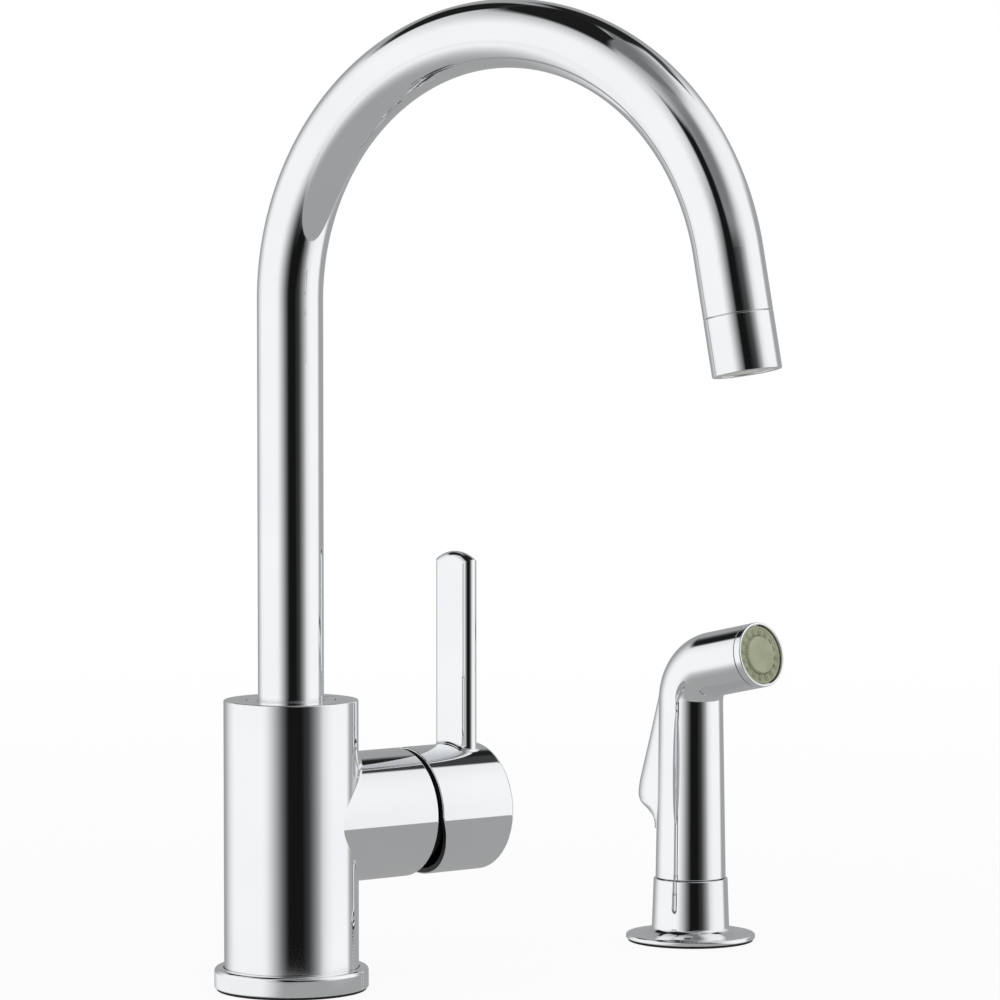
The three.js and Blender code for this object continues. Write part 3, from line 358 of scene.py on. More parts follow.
class Look:
    """A Principled material whose detail comes from noise in the part's own coordinates."""

    def __init__(self, slot, color, metallic, roughness):
        self.material = bpy.data.materials.new(slot)
        self.material.use_nodes = True
        self.tree = self.material.node_tree
        self.shader = self.tree.nodes["Principled BSDF"]
        self.shader.inputs["Base Color"].default_value = (*color, 1)
        self.shader.inputs["Metallic"].default_value = metallic
        self.shader.inputs["Roughness"].default_value = roughness
        self.place = self.node("ShaderNodeTexCoord").outputs["Object"]

    def node(self, kind, **settings):
        node = self.tree.nodes.new(kind)
        for name, value in settings.items():
            setattr(node, name, value)
        return node

    def noise(self, scale, detail=3.0, stretch=(1, 1, 1)):
        """Noise with features about 1/scale metres wide, wider along a stretched axis."""
        mapping = self.node("ShaderNodeMapping")
        mapping.inputs["Scale"].default_value = [1 / s for s in stretch]
        noise = self.node("ShaderNodeTexNoise")
        noise.inputs["Scale"].default_value = scale
        noise.inputs["Detail"].default_value = detail
        self.tree.links.new(self.place, mapping.inputs["Vector"])
        self.tree.links.new(mapping.outputs["Vector"], noise.inputs["Vector"])
        return noise.outputs["Fac"]

    def vary(self, socket, fac, low, high):
        """The socket runs from low to high with the noise, numbers or colours alike."""
        if isinstance(low, tuple):
            ramp = self.node("ShaderNodeValToRGB")
            first, last = ramp.color_ramp.elements
            first.position, last.position = 0.35, 0.65
            first.color, last.color = (*low, 1), (*high, 1)
            self.tree.links.new(fac, ramp.inputs["Fac"])
            self.tree.links.new(ramp.outputs["Color"], self.shader.inputs[socket])
            return self
        span = self.node("ShaderNodeMapRange")
        span.inputs["From Min"].default_value, span.inputs["From Max"].default_value = 0.3, 0.7
        span.inputs["To Min"].default_value, span.inputs["To Max"].default_value = low, high
        self.tree.links.new(fac, span.inputs["Value"])
        self.tree.links.new(span.outputs["Result"], self.shader.inputs[socket])
        return self

    def bump(self, fac, strength, depth):
        bump = self.node("ShaderNodeBump")
        bump.inputs["Strength"].default_value = strength
        bump.inputs["Distance"].default_value = depth
        self.tree.links.new(fac, bump.inputs["Height"])
        self.tree.links.new(bump.outputs["Normal"], self.shader.inputs["Normal"])
        return self


def chrome():
    """Bright plate: a faint bloom of polishing haze over a surface with almost no waviness."""
    look = Look("chrome", (0.90, 0.91, 0.925), 1, 0.03)
    look.vary("Roughness", look.noise(55), 0.018, 0.045)
    look.vary("Base Color", look.noise(22), (0.885, 0.897, 0.912), (0.915, 0.922, 0.933))
    return look.bump(look.noise(38, 1), 0.012, 0.0004).material


def brass():
    look = Look("brass", (0.62, 0.45, 0.2), 1, 0.3)
    look.vary("Roughness", look.noise(140), 0.22, 0.38)
    look.vary("Base Color", look.noise(70, 5), (0.56, 0.4, 0.17), (0.66, 0.49, 0.23))
    return look.bump(look.noise(2600, 2, (60, 60, 1)), 0.12, 0.00008).material


def steel():
    look = Look("steel", (0.5, 0.51, 0.52), 1, 0.3)
    look.vary("Roughness", look.noise(180), 0.24, 0.4)
    look.vary("Base Color", look.noise(90, 4), (0.46, 0.47, 0.48), (0.55, 0.56, 0.57))
    return look.bump(look.noise(2400, 2, (1, 60, 60)), 0.1, 0.00006).material


def rubber():
    look = Look("rubber", (0.012, 0.012, 0.012), 0, 0.8)
    look.vary("Roughness", look.noise(300), 0.7, 0.88)
    look.vary("Base Color", look.noise(160, 5), (0.01, 0.01, 0.01), (0.018, 0.018, 0.018))
    return look.bump(look.noise(1500, 4), 0.25, 0.0001).material


def plastic(slot, dark, light, roughness, grain=1800):
    """Moulded plastic with a fine spark-eroded grain and slightly uneven colour."""
    look = Look(slot, light, 0, roughness)
    look.vary("Roughness", look.noise(220), roughness - 0.05, roughness + 0.07)
    look.vary("Base Color", look.noise(120, 4), dark, light)
    return look.bump(look.noise(grain, 3), 0.14, 0.00008).material


MATERIALS = {
    "chrome": chrome(),
    "brass": brass(),
    "steel": steel(),
    "rubber": rubber(),
    "black_plastic": plastic("black_plastic", (0.008, 0.008, 0.009), (0.013, 0.013, 0.014), 0.4),
    "white_plastic": plastic("white_plastic", (0.66, 0.66, 0.61), (0.72, 0.72, 0.67), 0.42),
    "grey_plastic": plastic("grey_plastic", (0.24, 0.25, 0.26), (0.28, 0.29, 0.3), 0.45),
    "face_plastic": plastic("face_plastic", (0.37, 0.385, 0.26), (0.45, 0.465, 0.33), 0.5, 900),
    "ceramic": plastic("ceramic", (0.8, 0.78, 0.72), (0.86, 0.84, 0.79), 0.14),
}
# These don't show in mirrors, because the real deck hides them.
BELOW_DECK = {
    "mounting_shank", "under_deck_seal", "under_deck_washer", "mounting_nut", "hot_nipple", "cold_nipple",
    "spray_outlet_nipple", "holder_nut", "hose_coupling",
}
BODY_OF = {node: body for body, nodes in frame["record"]["behaviour"]["bodies"].items() for node in nodes}


def colour_solids():
    """The solids that no fine mesh replaces show their slot's material too."""
    for part in frame["record"]["subparts"]:
        solid = frame["nodes"][part["node"]]
        solid.data.materials.clear()
        solid.data.materials.append(MATERIALS[part["material_slot"]])
        solid.visible_glossy = part["node"] not in BELOW_DECK


def turned(node, slot, profile, place=Matrix.Identity(4), sides=128, **shape):
    """A closed profile turned about the place's Z axis, which stands for the node."""
    return dressed(spun(node + "_fine", softened(profile), sides, place, **shape), node, slot)


# ---- Base and body ----


def valve_body():
    """Upright body and its boss, joined by the fillet of a ball that rolls round between them."""
    fillet_steps, quarter = 8, 44
    count = 4 * quarter
    reach, swing = BODY_RADIUS + BOSS_FILLET, BOSS_RADIUS + BOSS_FILLET
    points, faces = [], []

    def add(x, y, z):
        points.append((x, y, z))
        return len(points) - 1

    fillet = [[] for _ in range(fillet_steps + 1)]
    columns = []
    for k in range(count):
        angle = TAU * k / count
        y, z = swing * math.sin(angle), swing * math.cos(angle)
        centre = Vector((math.sqrt(reach * reach - y * y), y, z))
        wall = Vector((centre.x * BODY_RADIUS / reach, y * BODY_RADIUS / reach, z)) - centre
        boss = Vector((centre.x, y * BOSS_RADIUS / swing, z * BOSS_RADIUS / swing)) - centre
        columns.append(math.atan2(y, centre.x))
        for row, arm in zip(fillet, arc_between(wall, boss, spaced(0, 1, fillet_steps))):
            spot = centre + arm
            row.append(add(spot.x, spot.y, spot.z + VALVE_HEIGHT))

    boss_end = open_wall(
        [
            (BOSS_RADIUS, 30), (BOSS_RADIUS, BOSS_REACH, 0.5), (21.8, BOSS_REACH, 0.3),
            (21.8, 46), (18.9, 46), (18.9, 22), (0, 22),
        ]
    )
    rows = list(fillet)
    for share in (0.35, 0.7):
        rows.append([])
        for index in fillet[-1]:
            x, y, z = points[index]
            rows[-1].append(add(x + (BOSS_REACH - 1 - x) * share, y, z))
    for radius, x in boss_end:
        if radius:
            turns = [TAU * k / count for k in range(count)]
            rows.append([add(x, radius * math.sin(a), radius * math.cos(a) + VALVE_HEIGHT) for a in turns])
        else:
            rows.append([add(x, 0, VALVE_HEIGHT)] * count)
    for low, high in zip(rows, rows[1:]):
        for k in range(count):
            n = (k + 1) % count
            quad = (low[k], high[k], high[n], low[n])
            faces.append(quad if high[k] != high[n] else quad[:2] + quad[3:])

    # The wall's columns follow the fillet's edge where it meets the wall, and are even behind it.
    fronts = [k % count for k in range(-quarter, quarter + 1)]
    angles = [columns[k] for k in fronts]
    spare = 84
    first, last = angles[-1], angles[0] + TAU
    angles += [first + (last - first) * i / spare for i in range(1, spare)]
    width = len(angles)

    def ring(radius, height):
        if not radius:
            return [add(0, 0, height)] * width
        return [add(radius * math.cos(a), radius * math.sin(a), height) for a in angles]

    top_profile = [
        (BODY_RADIUS, 100), (BODY_RADIUS, BODY_TOP, 0.6), (17.3, BODY_TOP, 0.25),
        (17.3, 109.9), (BODY_BORE, 109.9), (BODY_BORE, 66), (0, 66),
    ]
    foot_profile = [
        (BODY_RADIUS, 30), (BODY_RADIUS, BODY_BOTTOM, 0.3), (BODY_BORE, BODY_BOTTOM),
        (BODY_BORE, 20.9), (0, 20.9),
    ]
    top = [ring(*p) for p in open_wall(top_profile)]
    foot = [ring(*p) for p in open_wall(foot_profile)]
    for low, high in list(zip(top, top[1:])) + [(b, a) for a, b in zip(foot, foot[1:])]:
        for k in range(width):
            n = (k + 1) % width
            quad = (low[k], low[n], high[n], high[k])
            faces.append(tuple(dict.fromkeys(quad)))
    crown = [fillet[0][k] for k in fronts]
    chin = [fillet[0][(count // 2 - k) % count] for k in fronts]
    for k in range(width):
        n = (k + 1) % width
        if n < len(fronts) and k < len(fronts) - 1:
            faces.append((crown[k], crown[n], top[0][n], top[0][k]))
            faces.append((foot[0][k], foot[0][n], chin[n], chin[k]))
        else:
            side = [foot[0][k], foot[0][n], top[0][n], top[0][k]]
            if k == len(fronts) - 1:
                side.append(crown[k])
            if n == 0:
                side.insert(2, crown[0])
            faces.append(tuple(side))
    return made("valve_body_fine", points, faces)


def threaded(radius, pitch, depth, low, high):
    """A warp that cuts a thread into the outer wall between two heights."""

    def warp(wide, height, angle):
        if abs(wide - radius) > 1e-6 or not low <= height <= high:
            return wide
        fade = min((height - low) / pitch, (high - height) / pitch, 1)
        return wide - depth * fade * (0.5 - 0.5 * math.cos(TAU * (height / pitch - angle / TAU)))

    return warp


def hexagonal(radius, low, high, bevel):
    """A warp that makes the outer wall six-sided, with its corners bevelled at both ends."""

    def warp(wide, height, angle):
        if abs(wide - radius) > 1e-6:
            return wide
        flat = radius * math.cos(math.pi / 6)
        side = flat / math.cos((angle - math.pi / 6) % (math.pi / 3) - math.pi / 6)
        nearest = min(height - low, high - height)
        return min(side, flat + nearest / bevel * (radius - flat))

    return warp


def add_base():
    turned("deck_gasket", "rubber", [(17, 0, 0.15), (29, 0, 0.25), (29, 0.7, 0.25), (17, 0.7, 0.15)])
    ring = [(17, 1), (29.8, 1, 0.4), (29.8, 8.8, 1.5), (26.3, 8.8, 0.3), (26.3, 6.3), (17, 6.3)]
    turned("base_ring", "chrome", ring, sides=160)
    dressed(valve_body(), "valve_body", "chrome")
    wall = [(SHANK_RADIUS, h) for h in spaced(SHANK_BOTTOM, SHANK_TOP, 350)]
    shank = [(SHANK_BORE, SHANK_BOTTOM, 0.3), *wall, (SHANK_BORE, SHANK_TOP, 0.3)]
    turned("mounting_shank", "brass", shank, warp=threaded(SHANK_RADIUS, 1.5, 0.65, -44.6, -0.5))
    low, high = -12, -10
    seal = [
        (CLAMP_BORE, low, 0.3), (CLAMP_RADIUS, low, 0.5),
        (CLAMP_RADIUS, high, 0.3), (CLAMP_BORE, high, 0.3),
    ]
    turned("under_deck_seal", "rubber", seal)
    low, high = -13.9, -12.3
    washer = [
        (CLAMP_BORE, low, 0.2), (CLAMP_RADIUS, low, 0.3),
        (CLAMP_RADIUS, high, 0.3), (CLAMP_BORE, high, 0.2),
    ]
    turned("under_deck_washer", "steel", washer)
    flats = [(NUT_RADIUS, h) for h in spaced(NUT_BOTTOM, NUT_TOP, 30)]
    nut = [(CLAMP_BORE, NUT_BOTTOM, 0.4), *flats, (CLAMP_BORE, NUT_TOP, 0.4)]
    turned("mounting_nut", "brass", nut, sides=144, warp=hexagonal(NUT_RADIUS, NUT_BOTTOM, NUT_TOP, 1.2))
    for node, degrees in (("hot_nipple", -60), ("cold_nipple", 60), ("spray_outlet_nipple", 180)):
        angle = math.radians(degrees)
        place = Matrix.Translation((NIPPLE_OFFSET * math.cos(angle), NIPPLE_OFFSET * math.sin(angle), 0))
        collar = [(COLLAR_RADIUS, h) for h in spaced(NIPPLE_BOTTOM, COLLAR_TOP, 96)]
        tube = [(NIPPLE_RADIUS, COLLAR_TOP, 0.2), (NIPPLE_RADIUS, NIPPLE_TOP, 0.4)]
        profile = [(NIPPLE_BORE, NIPPLE_BOTTOM, 0.3), *collar, *tube, (NIPPLE_BORE, NIPPLE_TOP, 0.3)]
        turned(node, "brass", profile, place, 64, warp=threaded(COLLAR_RADIUS, 1.2, 0.45, -57, -48))


# ---- Valve and lever handle ----


def lever_section():
    """Section of the lever as [(x, y, normal x, normal y)], anticlockwise from its -Y end."""
    edge, spread = LEVER_THICKNESS / 2, (LEVER_WIDTH - LEVER_THICKNESS) / 2
    edge_steps = 12
    front = []
    for degrees in spaced(-90, 0, edge_steps):
        nx, ny = math.cos(math.radians(degrees)), math.sin(math.radians(degrees))
        front.append((edge * nx, edge * ny - spread, nx, ny))
    front += [(edge, y, 1, 0) for y in spaced(-spread, spread, 14)[1:-1]]
    front += [(x, -y, nx, -ny) for x, y, nx, ny in reversed(front[: edge_steps + 1])]
    return front + [(-x, y, -nx, ny) for x, y, nx, ny in reversed(front[1:-1])]


def lever():
    """Lever with its arched, rounded top, and the fillet of a ball that rolls round its foot on the dome."""
    section = lever_section()
    count = len(section)
    edge = LEVER_THICKNESS / 2
    skin = DOME_RADIUS - 0.01
    reach = skin + LEVER_FILLET
    crown_radius = ((LEVER_WIDTH / 2) ** 2 + LEVER_CROWN**2) / (2 * LEVER_CROWN)
    crown_centre = LEVER_TOP - VALVE_HEIGHT - crown_radius

    def on_dome(x, y, radius):
        return (LEVER_CENTRE + x, y, math.sqrt(radius * radius - y * y))

    def on_crown(x, y):
        rim = crown_radius - edge + math.sqrt(max(edge * edge - x * x, 0))
        return (LEVER_CENTRE + x, y, crown_centre + math.sqrt(rim * rim - y * y))

    core = skin - 1.2
    rim = [(x + LEVER_FILLET * nx, (y + LEVER_FILLET * ny) * skin / reach) for x, y, nx, ny in section]
    rows = [[on_dome(x * share, y * share, core) for x, y in rim] for share in (0.0, 0.3, 0.65, 1.0)]
    arcs = []
    for x, y, nx, ny in section:
        across = y + LEVER_FILLET * ny
        height = math.sqrt(reach * reach - across * across)
        centre = Vector((LEVER_CENTRE + x + LEVER_FILLET * nx, across, height))
        dome = Vector((0, centre.y, centre.z)) * (skin / reach) - Vector((0, centre.y, centre.z))
        prism = Vector((-nx, -ny, 0)) * LEVER_FILLET
        arcs.append([centre + arm for arm in arc_between(dome, prism, spaced(0, 1, 10))])
    rows += [list(row) for row in zip(*arcs)]
    foot, shoulder = rows[-1], [on_crown(x, y) for x, y, _, _ in section]
    for share in (0.02, 0.25, 0.5, 0.75, 0.98, 1.0):
        rows.append([(p[0], p[1], p[2] + (q[2] - p[2]) * share) for p, q in zip(foot, shoulder)])
    for degrees in spaced(0, 90, 12)[1:-1]:
        rows.append([on_crown(x * math.cos(math.radians(degrees)), y) for x, y, _, _ in section])
    points = [tuple(p) for row in rows for p in row]
    faces = []

    def band(low, high):
        for k in range(count):
            n = (k + 1) % count
            quad = tuple(dict.fromkeys((low[k], low[n], high[n], high[k])))
            if len(quad) > 2:
                faces.append(quad)

    rings = [range(r * count, (r + 1) * count) for r in range(len(rows))]
    for low, high in zip(rings, rings[1:]):
        band(low, high)
    half = count // 2
    crest = list(range(len(points), len(points) + half + 1))
    points += [on_crown(0, y) for _, y, _, _ in section[: half + 1]]
    band(rings[-1], crest + crest[-2:0:-1])
    return made("lever", points, faces, VALVE)


def dome():
    """Hollow dome about the valve's axis, with its hub and with the rim cut back below the axis."""
    calm = 72.0  # where the rim's slant has died away

    def slanted(radius, height, angle):
        if radius < 15 or height > calm:
            return height
        below = max(radius * math.cos(angle), 0)
        return height + RIM_RELIEF / DOME_RADIUS * below * (calm - height) / (calm - DOME_START)

    bore = DOME_RADIUS - DOME_WALL
    profile = softened(
        [
            (4.3, 66, 0.2), (8.5, 66, 0.4), (8.5, 86.5), (bore, 86.5), (bore, calm), (bore, DOME_START, 0.3),
            (DOME_RADIUS, DOME_START, 0.45),
            *[(DOME_RADIUS, h) for h in spaced(57, calm, 5)],
            *[(DOME_RADIUS, h) for h in spaced(calm, 88, 14)[1:]],
            (DOME_RADIUS, DOME_END, 1.5), (12, DOME_END), (0, DOME_END), (0, 84.3), (4.3, 84.3),
        ],
        7,
    )
    piece = spun("dome", profile, 160)
    for vertex in piece.data.vertices:
        across, aside, height = (c / MM for c in vertex.co)
        vertex.co.z = slanted(math.hypot(across, aside), height, math.atan2(aside, across)) * MM
    piece.data.transform(scaled(VALVE @ ALONG_X))
    return piece


def paint_dome_hollow_shade(handle, material):
    """The inside of the dome is left dull and dark: painted shade for its shadowy hollow."""
    middle = DOME_RADIUS - DOME_WALL / 2
    handle.data.materials.append(material)
    for face in handle.data.polygons:
        x, y, z = face.center / MM
        face.material_index = int(x < DOME_END - 1 and math.hypot(y, z - VALVE_HEIGHT) < middle)


def scaled(place):
    """The same placement with its shift in metres."""
    return Matrix.Translation(place.to_translation() * MM) @ place.to_3x3().to_4x4()


def add_valve():
    axis = VALVE @ ALONG_X
    sleeve = [(13.1, 52.5), (20.6, 52.5), (20.6, 59, 0.3), (13.1, 59, 0.3)]
    turned("trim_sleeve", "black_plastic", sleeve, axis)
    nut = [(12.8, 46.3), (21.5, 46.3), (21.5, 52.2, 0.4), (12.8, 52.2, 0.3)]
    turned("bonnet_nut", "brass", nut, axis)
    handle = boolean(dome(), lever(), "UNION")
    below = VALVE @ Matrix.Translation((PLUG_PLACE, 0, 0))
    hole = spun("hole", [(0, -27), (3.3, -27), (3.3, PLUG_TOP), (0, PLUG_TOP)], 64, below)
    handle = boolean(handle, hole, "DIFFERENCE")
    handle.name = "lever_handle_fine"
    dressed(handle, "lever_handle", "chrome")
    # Painted shade: the dome's inside faces take the dull black plastic in place of chrome.
    paint_dome_hollow_shade(handle, MATERIALS["black_plastic"])
    plug = [(0, -25), (3, -25, 0.4), (3, PLUG_TOP, 0.2), (0, PLUG_TOP)]
    turned("handle_plug", "grey_plastic", plug, below, 48)


# ---- Spout ----


def add_spout():
    arc = spaced(BEND_START, BEND_START + GOOSENECK.arc, 120)
    bore = TUBE_RADIUS - TUBE_WALL
    outer = [*spaced(84, BEND_START, 8)[:-1], *arc, TUBE_END - 8]
    inner = [TUBE_END - 8, *reversed(arc[::3]), 180, 84]
    profile = [
        (bore, TUBE_FOOT), (TUBE_RADIUS, TUBE_FOOT), *[(TUBE_RADIUS, h) for h in outer],
        (TUBE_RADIUS, TUBE_END, 0.2), (bore, TUBE_END, 0.2), *[(bore, h) for h in inner],
    ]
    turned("spout_tube", "chrome", profile, SPOUT, 112, bend=GOOSENECK)
    turned("spout_bush", "chrome", [(13, 110.2), (17, 110.2), (17, BODY_TOP, 0.25), (13, BODY_TOP, 0.35)])
    end = FIT + AERATOR_LENGTH
    shell = [
        (8.4, -8), (10.9, -8, 0.4), (10.9, FIT), (TUBE_RADIUS, FIT, 0.2),
        (TUBE_RADIUS, end, 0.6), (10.2, end, 0.4), (10.2, 2.8), (8.4, 2.8),
    ]
    turned("aerator_shell", "chrome", shell, OUTLET)
    front, groove, soft = 20.0, 19.2, 0.15
    ridges = []
    for radius in (8.6, 6.9, 5.2, 3.5):
        ridges += [(radius, front, soft), (radius - 0.5, groove, soft)]
        ridges += [(radius - 0.9, groove, soft), (radius - 1.2, front, soft)]
    cup = [(0, 17.3), (8.3, 17.3), (8.3, 5.8), (9.9, 5.8), (9.9, 20.3, 0.3), (9.1, 20.3, 0.2)]
    insert = spun("aerator_insert_fine", softened([*cup, *ridges, (0, front)]), 96, OUTLET)
    hole_count, hole_ring = 8, 5.4
    for k in range(hole_count):
        angle = TAU * k / hole_count
        place = OUTLET @ Matrix.Translation((hole_ring * math.cos(angle), hole_ring * math.sin(angle), 0))
        hole = spun("hole", [(0, 16), (1.4, 16), (1.4, 22), (0, 22)], 20, place)
        insert = boolean(insert, hole, "DIFFERENCE")
    dressed(insert, "aerator_insert", "white_plastic")


# ---- Side spray ----


def add_holder():
    """Flange with a hollow flare up to the sleeve that the wand stands in, and the shank below the deck."""
    outside, inside, rise = 26.3, 16, 3.4
    flare = []
    for share in spaced(0, 1, 20)[1:]:
        turn = share * math.pi / 2
        flare.append((outside + (inside - outside) * math.sin(turn), 2.9 + rise * (1 - math.cos(turn))))
    wall = [(HOLDER_SHANK_RADIUS, h) for h in spaced(HOLDER_BOTTOM, 1, 200)]
    profile = [
        (HOLDER_BORE, HOLDER_BOTTOM, 0.3), *wall, (FLANGE_RADIUS, 1, EDGE), (FLANGE_RADIUS, 2.5, 0.35),
        (outside, 2.9, 0.2), *flare, (15.3, HOLDER_TOP, EDGE), (14, HOLDER_TOP, 0.3), (14, 2.5),
        (HOLDER_BORE, 2.5),
    ]
    thread = threaded(HOLDER_SHANK_RADIUS, 1.5, 0.6, -37.6, -1)
    turned("spray_holder", "chrome", profile, SPRAY, 144, warp=thread)
    gasket = [(14.5, 0, 0.15), (25.9, 0, 0.25), (25.9, 0.7, 0.25), (14.5, 0.7, 0.15)]
    turned("holder_gasket", "rubber", gasket, SPRAY)
    insert = [(12.7, 2.8, 0.2), (13.7, 2.8, 0.2), (13.7, 25.7, 0.25), (12.7, 25.7, 0.3)]
    turned("holder_insert", "black_plastic", insert, SPRAY)
    flats = [(HOLDER_NUT_RADIUS, h) for h in spaced(HOLDER_NUT_BOTTOM, HOLDER_NUT_TOP, 30)]
    nut = [(14.5, HOLDER_NUT_BOTTOM, 0.4), *flats, (14.5, HOLDER_NUT_TOP, 0.4)]
    six_sided = hexagonal(HOLDER_NUT_RADIUS, HOLDER_NUT_BOTTOM, HOLDER_NUT_TOP, 1.2)
    turned("holder_nut", "black_plastic", nut, SPRAY, 144, warp=six_sided)


def trigger_half_width(height):
    taper = (TRIGGER_HIGH_WIDTH - TRIGGER_LOW_WIDTH) * (height - TRIGGER_LOW) / (TRIGGER_HIGH - TRIGGER_LOW)
    return (TRIGGER_LOW_WIDTH + taper) / 2


def trigger_reach(height):
    """How far the trigger's back is from the grip's axis.

    It is straight from its top down to the shoulder, swells to the tip, and sweeps back in to the foot. The
    sweep's points are (share of the height from foot to tip, share of the reach), joined by a smooth curve.
    """
    tip, shoulder = PIVOT_HEIGHT - 39.5, PIVOT_HEIGHT - 34.5
    if height >= shoulder:
        return 25.6 + (13.7 - 25.6) * (height - shoulder) / (TRIGGER_HIGH - shoulder)
    sweep = [
        (0, 0), (0.2, 0.035), (0.36, 0.158), (0.52, 0.456), (0.68, 0.825), (0.82, 0.965),
        (1, 1), (1.345, 0.93), (1.6, 0.842),
    ]
    foot_reach, tip_reach = 15, 26.4
    share = (height - TRIGGER_LOW) / (tip - TRIGGER_LOW)
    for i in range(len(sweep) - 2):
        if share <= sweep[i + 1][0] or i == len(sweep) - 3:
            break
    (x0, y0), (x1, y1) = sweep[i], sweep[i + 1]
    before = sweep[i - 1] if i else (-0.2, 0)
    after = sweep[i + 2]
    t = (share - x0) / (x1 - x0)
    slope0 = (y1 - before[1]) / (x1 - before[0]) * (x1 - x0)
    slope1 = (after[1] - y0) / (after[0] - x0) * (x1 - x0)
    from_start = (2 * t**3 - 3 * t**2 + 1) * y0 + (t**3 - 2 * t**2 + t) * slope0
    out = from_start + (3 * t**2 - 2 * t**3) * y1 + (t**3 - t**2) * slope1
    return foot_reach + (tip_reach - foot_reach) * out


def trigger_arc(depth, half_width, steps=44):
    """Half of a superellipse from one cheek's front edge round the back to the other's."""
    power = 2 / 2.6
    arc = []
    for i in range(steps + 1):
        across, back = math.cos(math.pi * i / steps), max(math.sin(math.pi * i / steps), 0)
        aside = half_width * math.copysign(abs(across) ** power, across)
        arc.append((-TRIGGER_FRONT - depth * back**power, aside))
    return arc


def trigger():
    """Channel with rounded ends that is open towards the grip, with a bore for its pin."""
    low, high = TRIGGER_LOW, TRIGGER_HIGH
    curved_top = 66  # below it the back is curved and the rings lie closer
    ends = [0, 0.05, 0.15, 0.3, 0.5]
    heights = [low + e for e in ends] + spaced(low + 1, curved_top, 40)
    heights += spaced(curved_top, high - 1, 24)[1:] + [high - e for e in reversed(ends)]
    points, count = [], 0
    for height in heights:
        nearest = min(height - low, high - height, 0.5)
        shrink = 0.5 - math.sqrt(0.25 - (0.5 - nearest) ** 2)
        depth, half = trigger_reach(height) - TRIGGER_FRONT, trigger_half_width(height)
        outer = trigger_arc(depth - shrink, half - shrink)
        inner = trigger_arc(depth - TRIGGER_WALL, half - TRIGGER_WALL)[::-1]
        ring = outer + inner
        count = len(ring)
        points += [(x, y, height) for x, y in ring]
    faces = []
    for r in range(len(heights) - 1):
        for k in range(count):
            n = (k + 1) % count
            faces.append((r * count + k, r * count + n, (r + 1) * count + n, (r + 1) * count + k))
    last = (len(heights) - 1) * count
    half = count // 2
    for k in range(half - 1):
        j = count - 1 - k
        faces.append((k, j, j - 1, k + 1))
        faces.append((last + k, last + k + 1, last + j - 1, last + j))
    piece = made("spray_trigger_fine", points, faces, WAND, 50)
    pivot = WAND @ Matrix.Translation((-9, 0, PIVOT_HEIGHT)) @ Matrix.Rotation(math.pi / 2, 4, "X")
    pin = spun("pin", [(0, -12), (1.7, -12), (1.7, 12), (0, 12)], 32, pivot)
    return boolean(piece, pin, "DIFFERENCE")


def wand_shell():
    """Tapered grip, elbow and head in one tube, with a spigot below and a window for the trigger."""
    end = WAND_ELBOW_END + BEZEL_START - FIT - ELBOW_TANGENT
    bend = spaced(ELBOW_START, WAND_ELBOW_END, 30)
    taper = []
    for share in spaced(0.02, 1, 24):
        radius = GRIP_FOOT_RADIUS + (GRIP_RADIUS - GRIP_FOOT_RADIUS) * share
        taper.append((radius, GRIP_BOTTOM + 1 + (GRIP_TAPER_TOP - GRIP_BOTTOM - 1) * share))
    profile = softened(
        [
            (SPIGOT_BORE, 5), (SPIGOT_RADIUS, 5, 0.3), (SPIGOT_RADIUS, GRIP_BOTTOM),
            (GRIP_FOOT_RADIUS, GRIP_BOTTOM, 0.35), *taper, *[(GRIP_RADIUS, h) for h in bend],
            *[(GRIP_RADIUS, h) for h in spaced(WAND_ELBOW_END, end - 1, 6)[1:]],
            (GRIP_RADIUS, end, 0.15), (WAND_BORE, end), *[(WAND_BORE, h) for h in reversed(bend[::2])],
            (WAND_BORE, 70), (WAND_BORE, 27.8), (SPIGOT_BORE, 27.8),
        ]
    )
    shell = spun("wand_shell_fine", profile, 128, WAND, bend=WAND_LINE)
    foot, top = TRIGGER_LOW - WINDOW_GAP, TRIGGER_HIGH + WINDOW_GAP
    foot_half, top_half = trigger_half_width(foot) + WINDOW_GAP, trigger_half_width(top) + WINDOW_GAP
    outline = [(-foot_half, foot), (foot_half, foot), (top_half, top), (-top_half, top)]
    window = [(x, y, z) for x in (-18, -4) for y, z in outline]
    # Each side runs anticlockwise as seen from outside, or else the window isn't cut.
    sides = [(0, 3, 2, 1), (4, 5, 6, 7), (0, 1, 5, 4), (1, 2, 6, 5), (2, 3, 7, 6), (3, 0, 4, 7)]
    cutter = made("window", window, sides, WAND)
    return boolean(shell, cutter, "DIFFERENCE")


def spray_face():
    """Soft nozzle plate: a ring of raised nozzles with dark mouths round a plain raised disc."""
    front, disc = FACE_FRONT, 7.6
    rim, floor, groove = front - 0.1, front - 0.45, front - 0.9
    plate = softened(
        [
            (0, 34.3), (11.5, 34.3), (11.5, 36.7), (12.0, 36.7), (12.0, rim, 0.3), (11.0, rim, 0.2),
            (10.8, floor, 0.2), (disc + 0.75, floor, 0.2), (disc + 0.5, groove, 0.15),
            (disc + 0.15, groove, 0.15), (disc, HEAD_LENGTH, 0.5), (0, HEAD_LENGTH),
        ]
    )
    parts = [spun("plate", plate, 128, HEAD)]
    mouth, throat = front + 0.35, front - 0.35
    nozzle = [
        (0, front - 1), (0.95, front - 1), (0.95, front - 0.5), (0.72, mouth, 0.2), (0.36, mouth, 0.08),
        (0.3, throat), (0, throat),
    ]
    for k in range(NOZZLE_COUNT):
        angle = TAU * (k + 0.5) / NOZZLE_COUNT
        place = HEAD @ Matrix.Translation((NOZZLE_RING * math.cos(angle), NOZZLE_RING * math.sin(angle), 0))
        parts.append(spun("nozzle", softened(nozzle), 20, place))
    with bpy.context.temp_override(active_object=parts[0], selected_editable_objects=parts):
        bpy.ops.object.join()
    parts[0].name = "spray_face_fine"
    return parts[0]


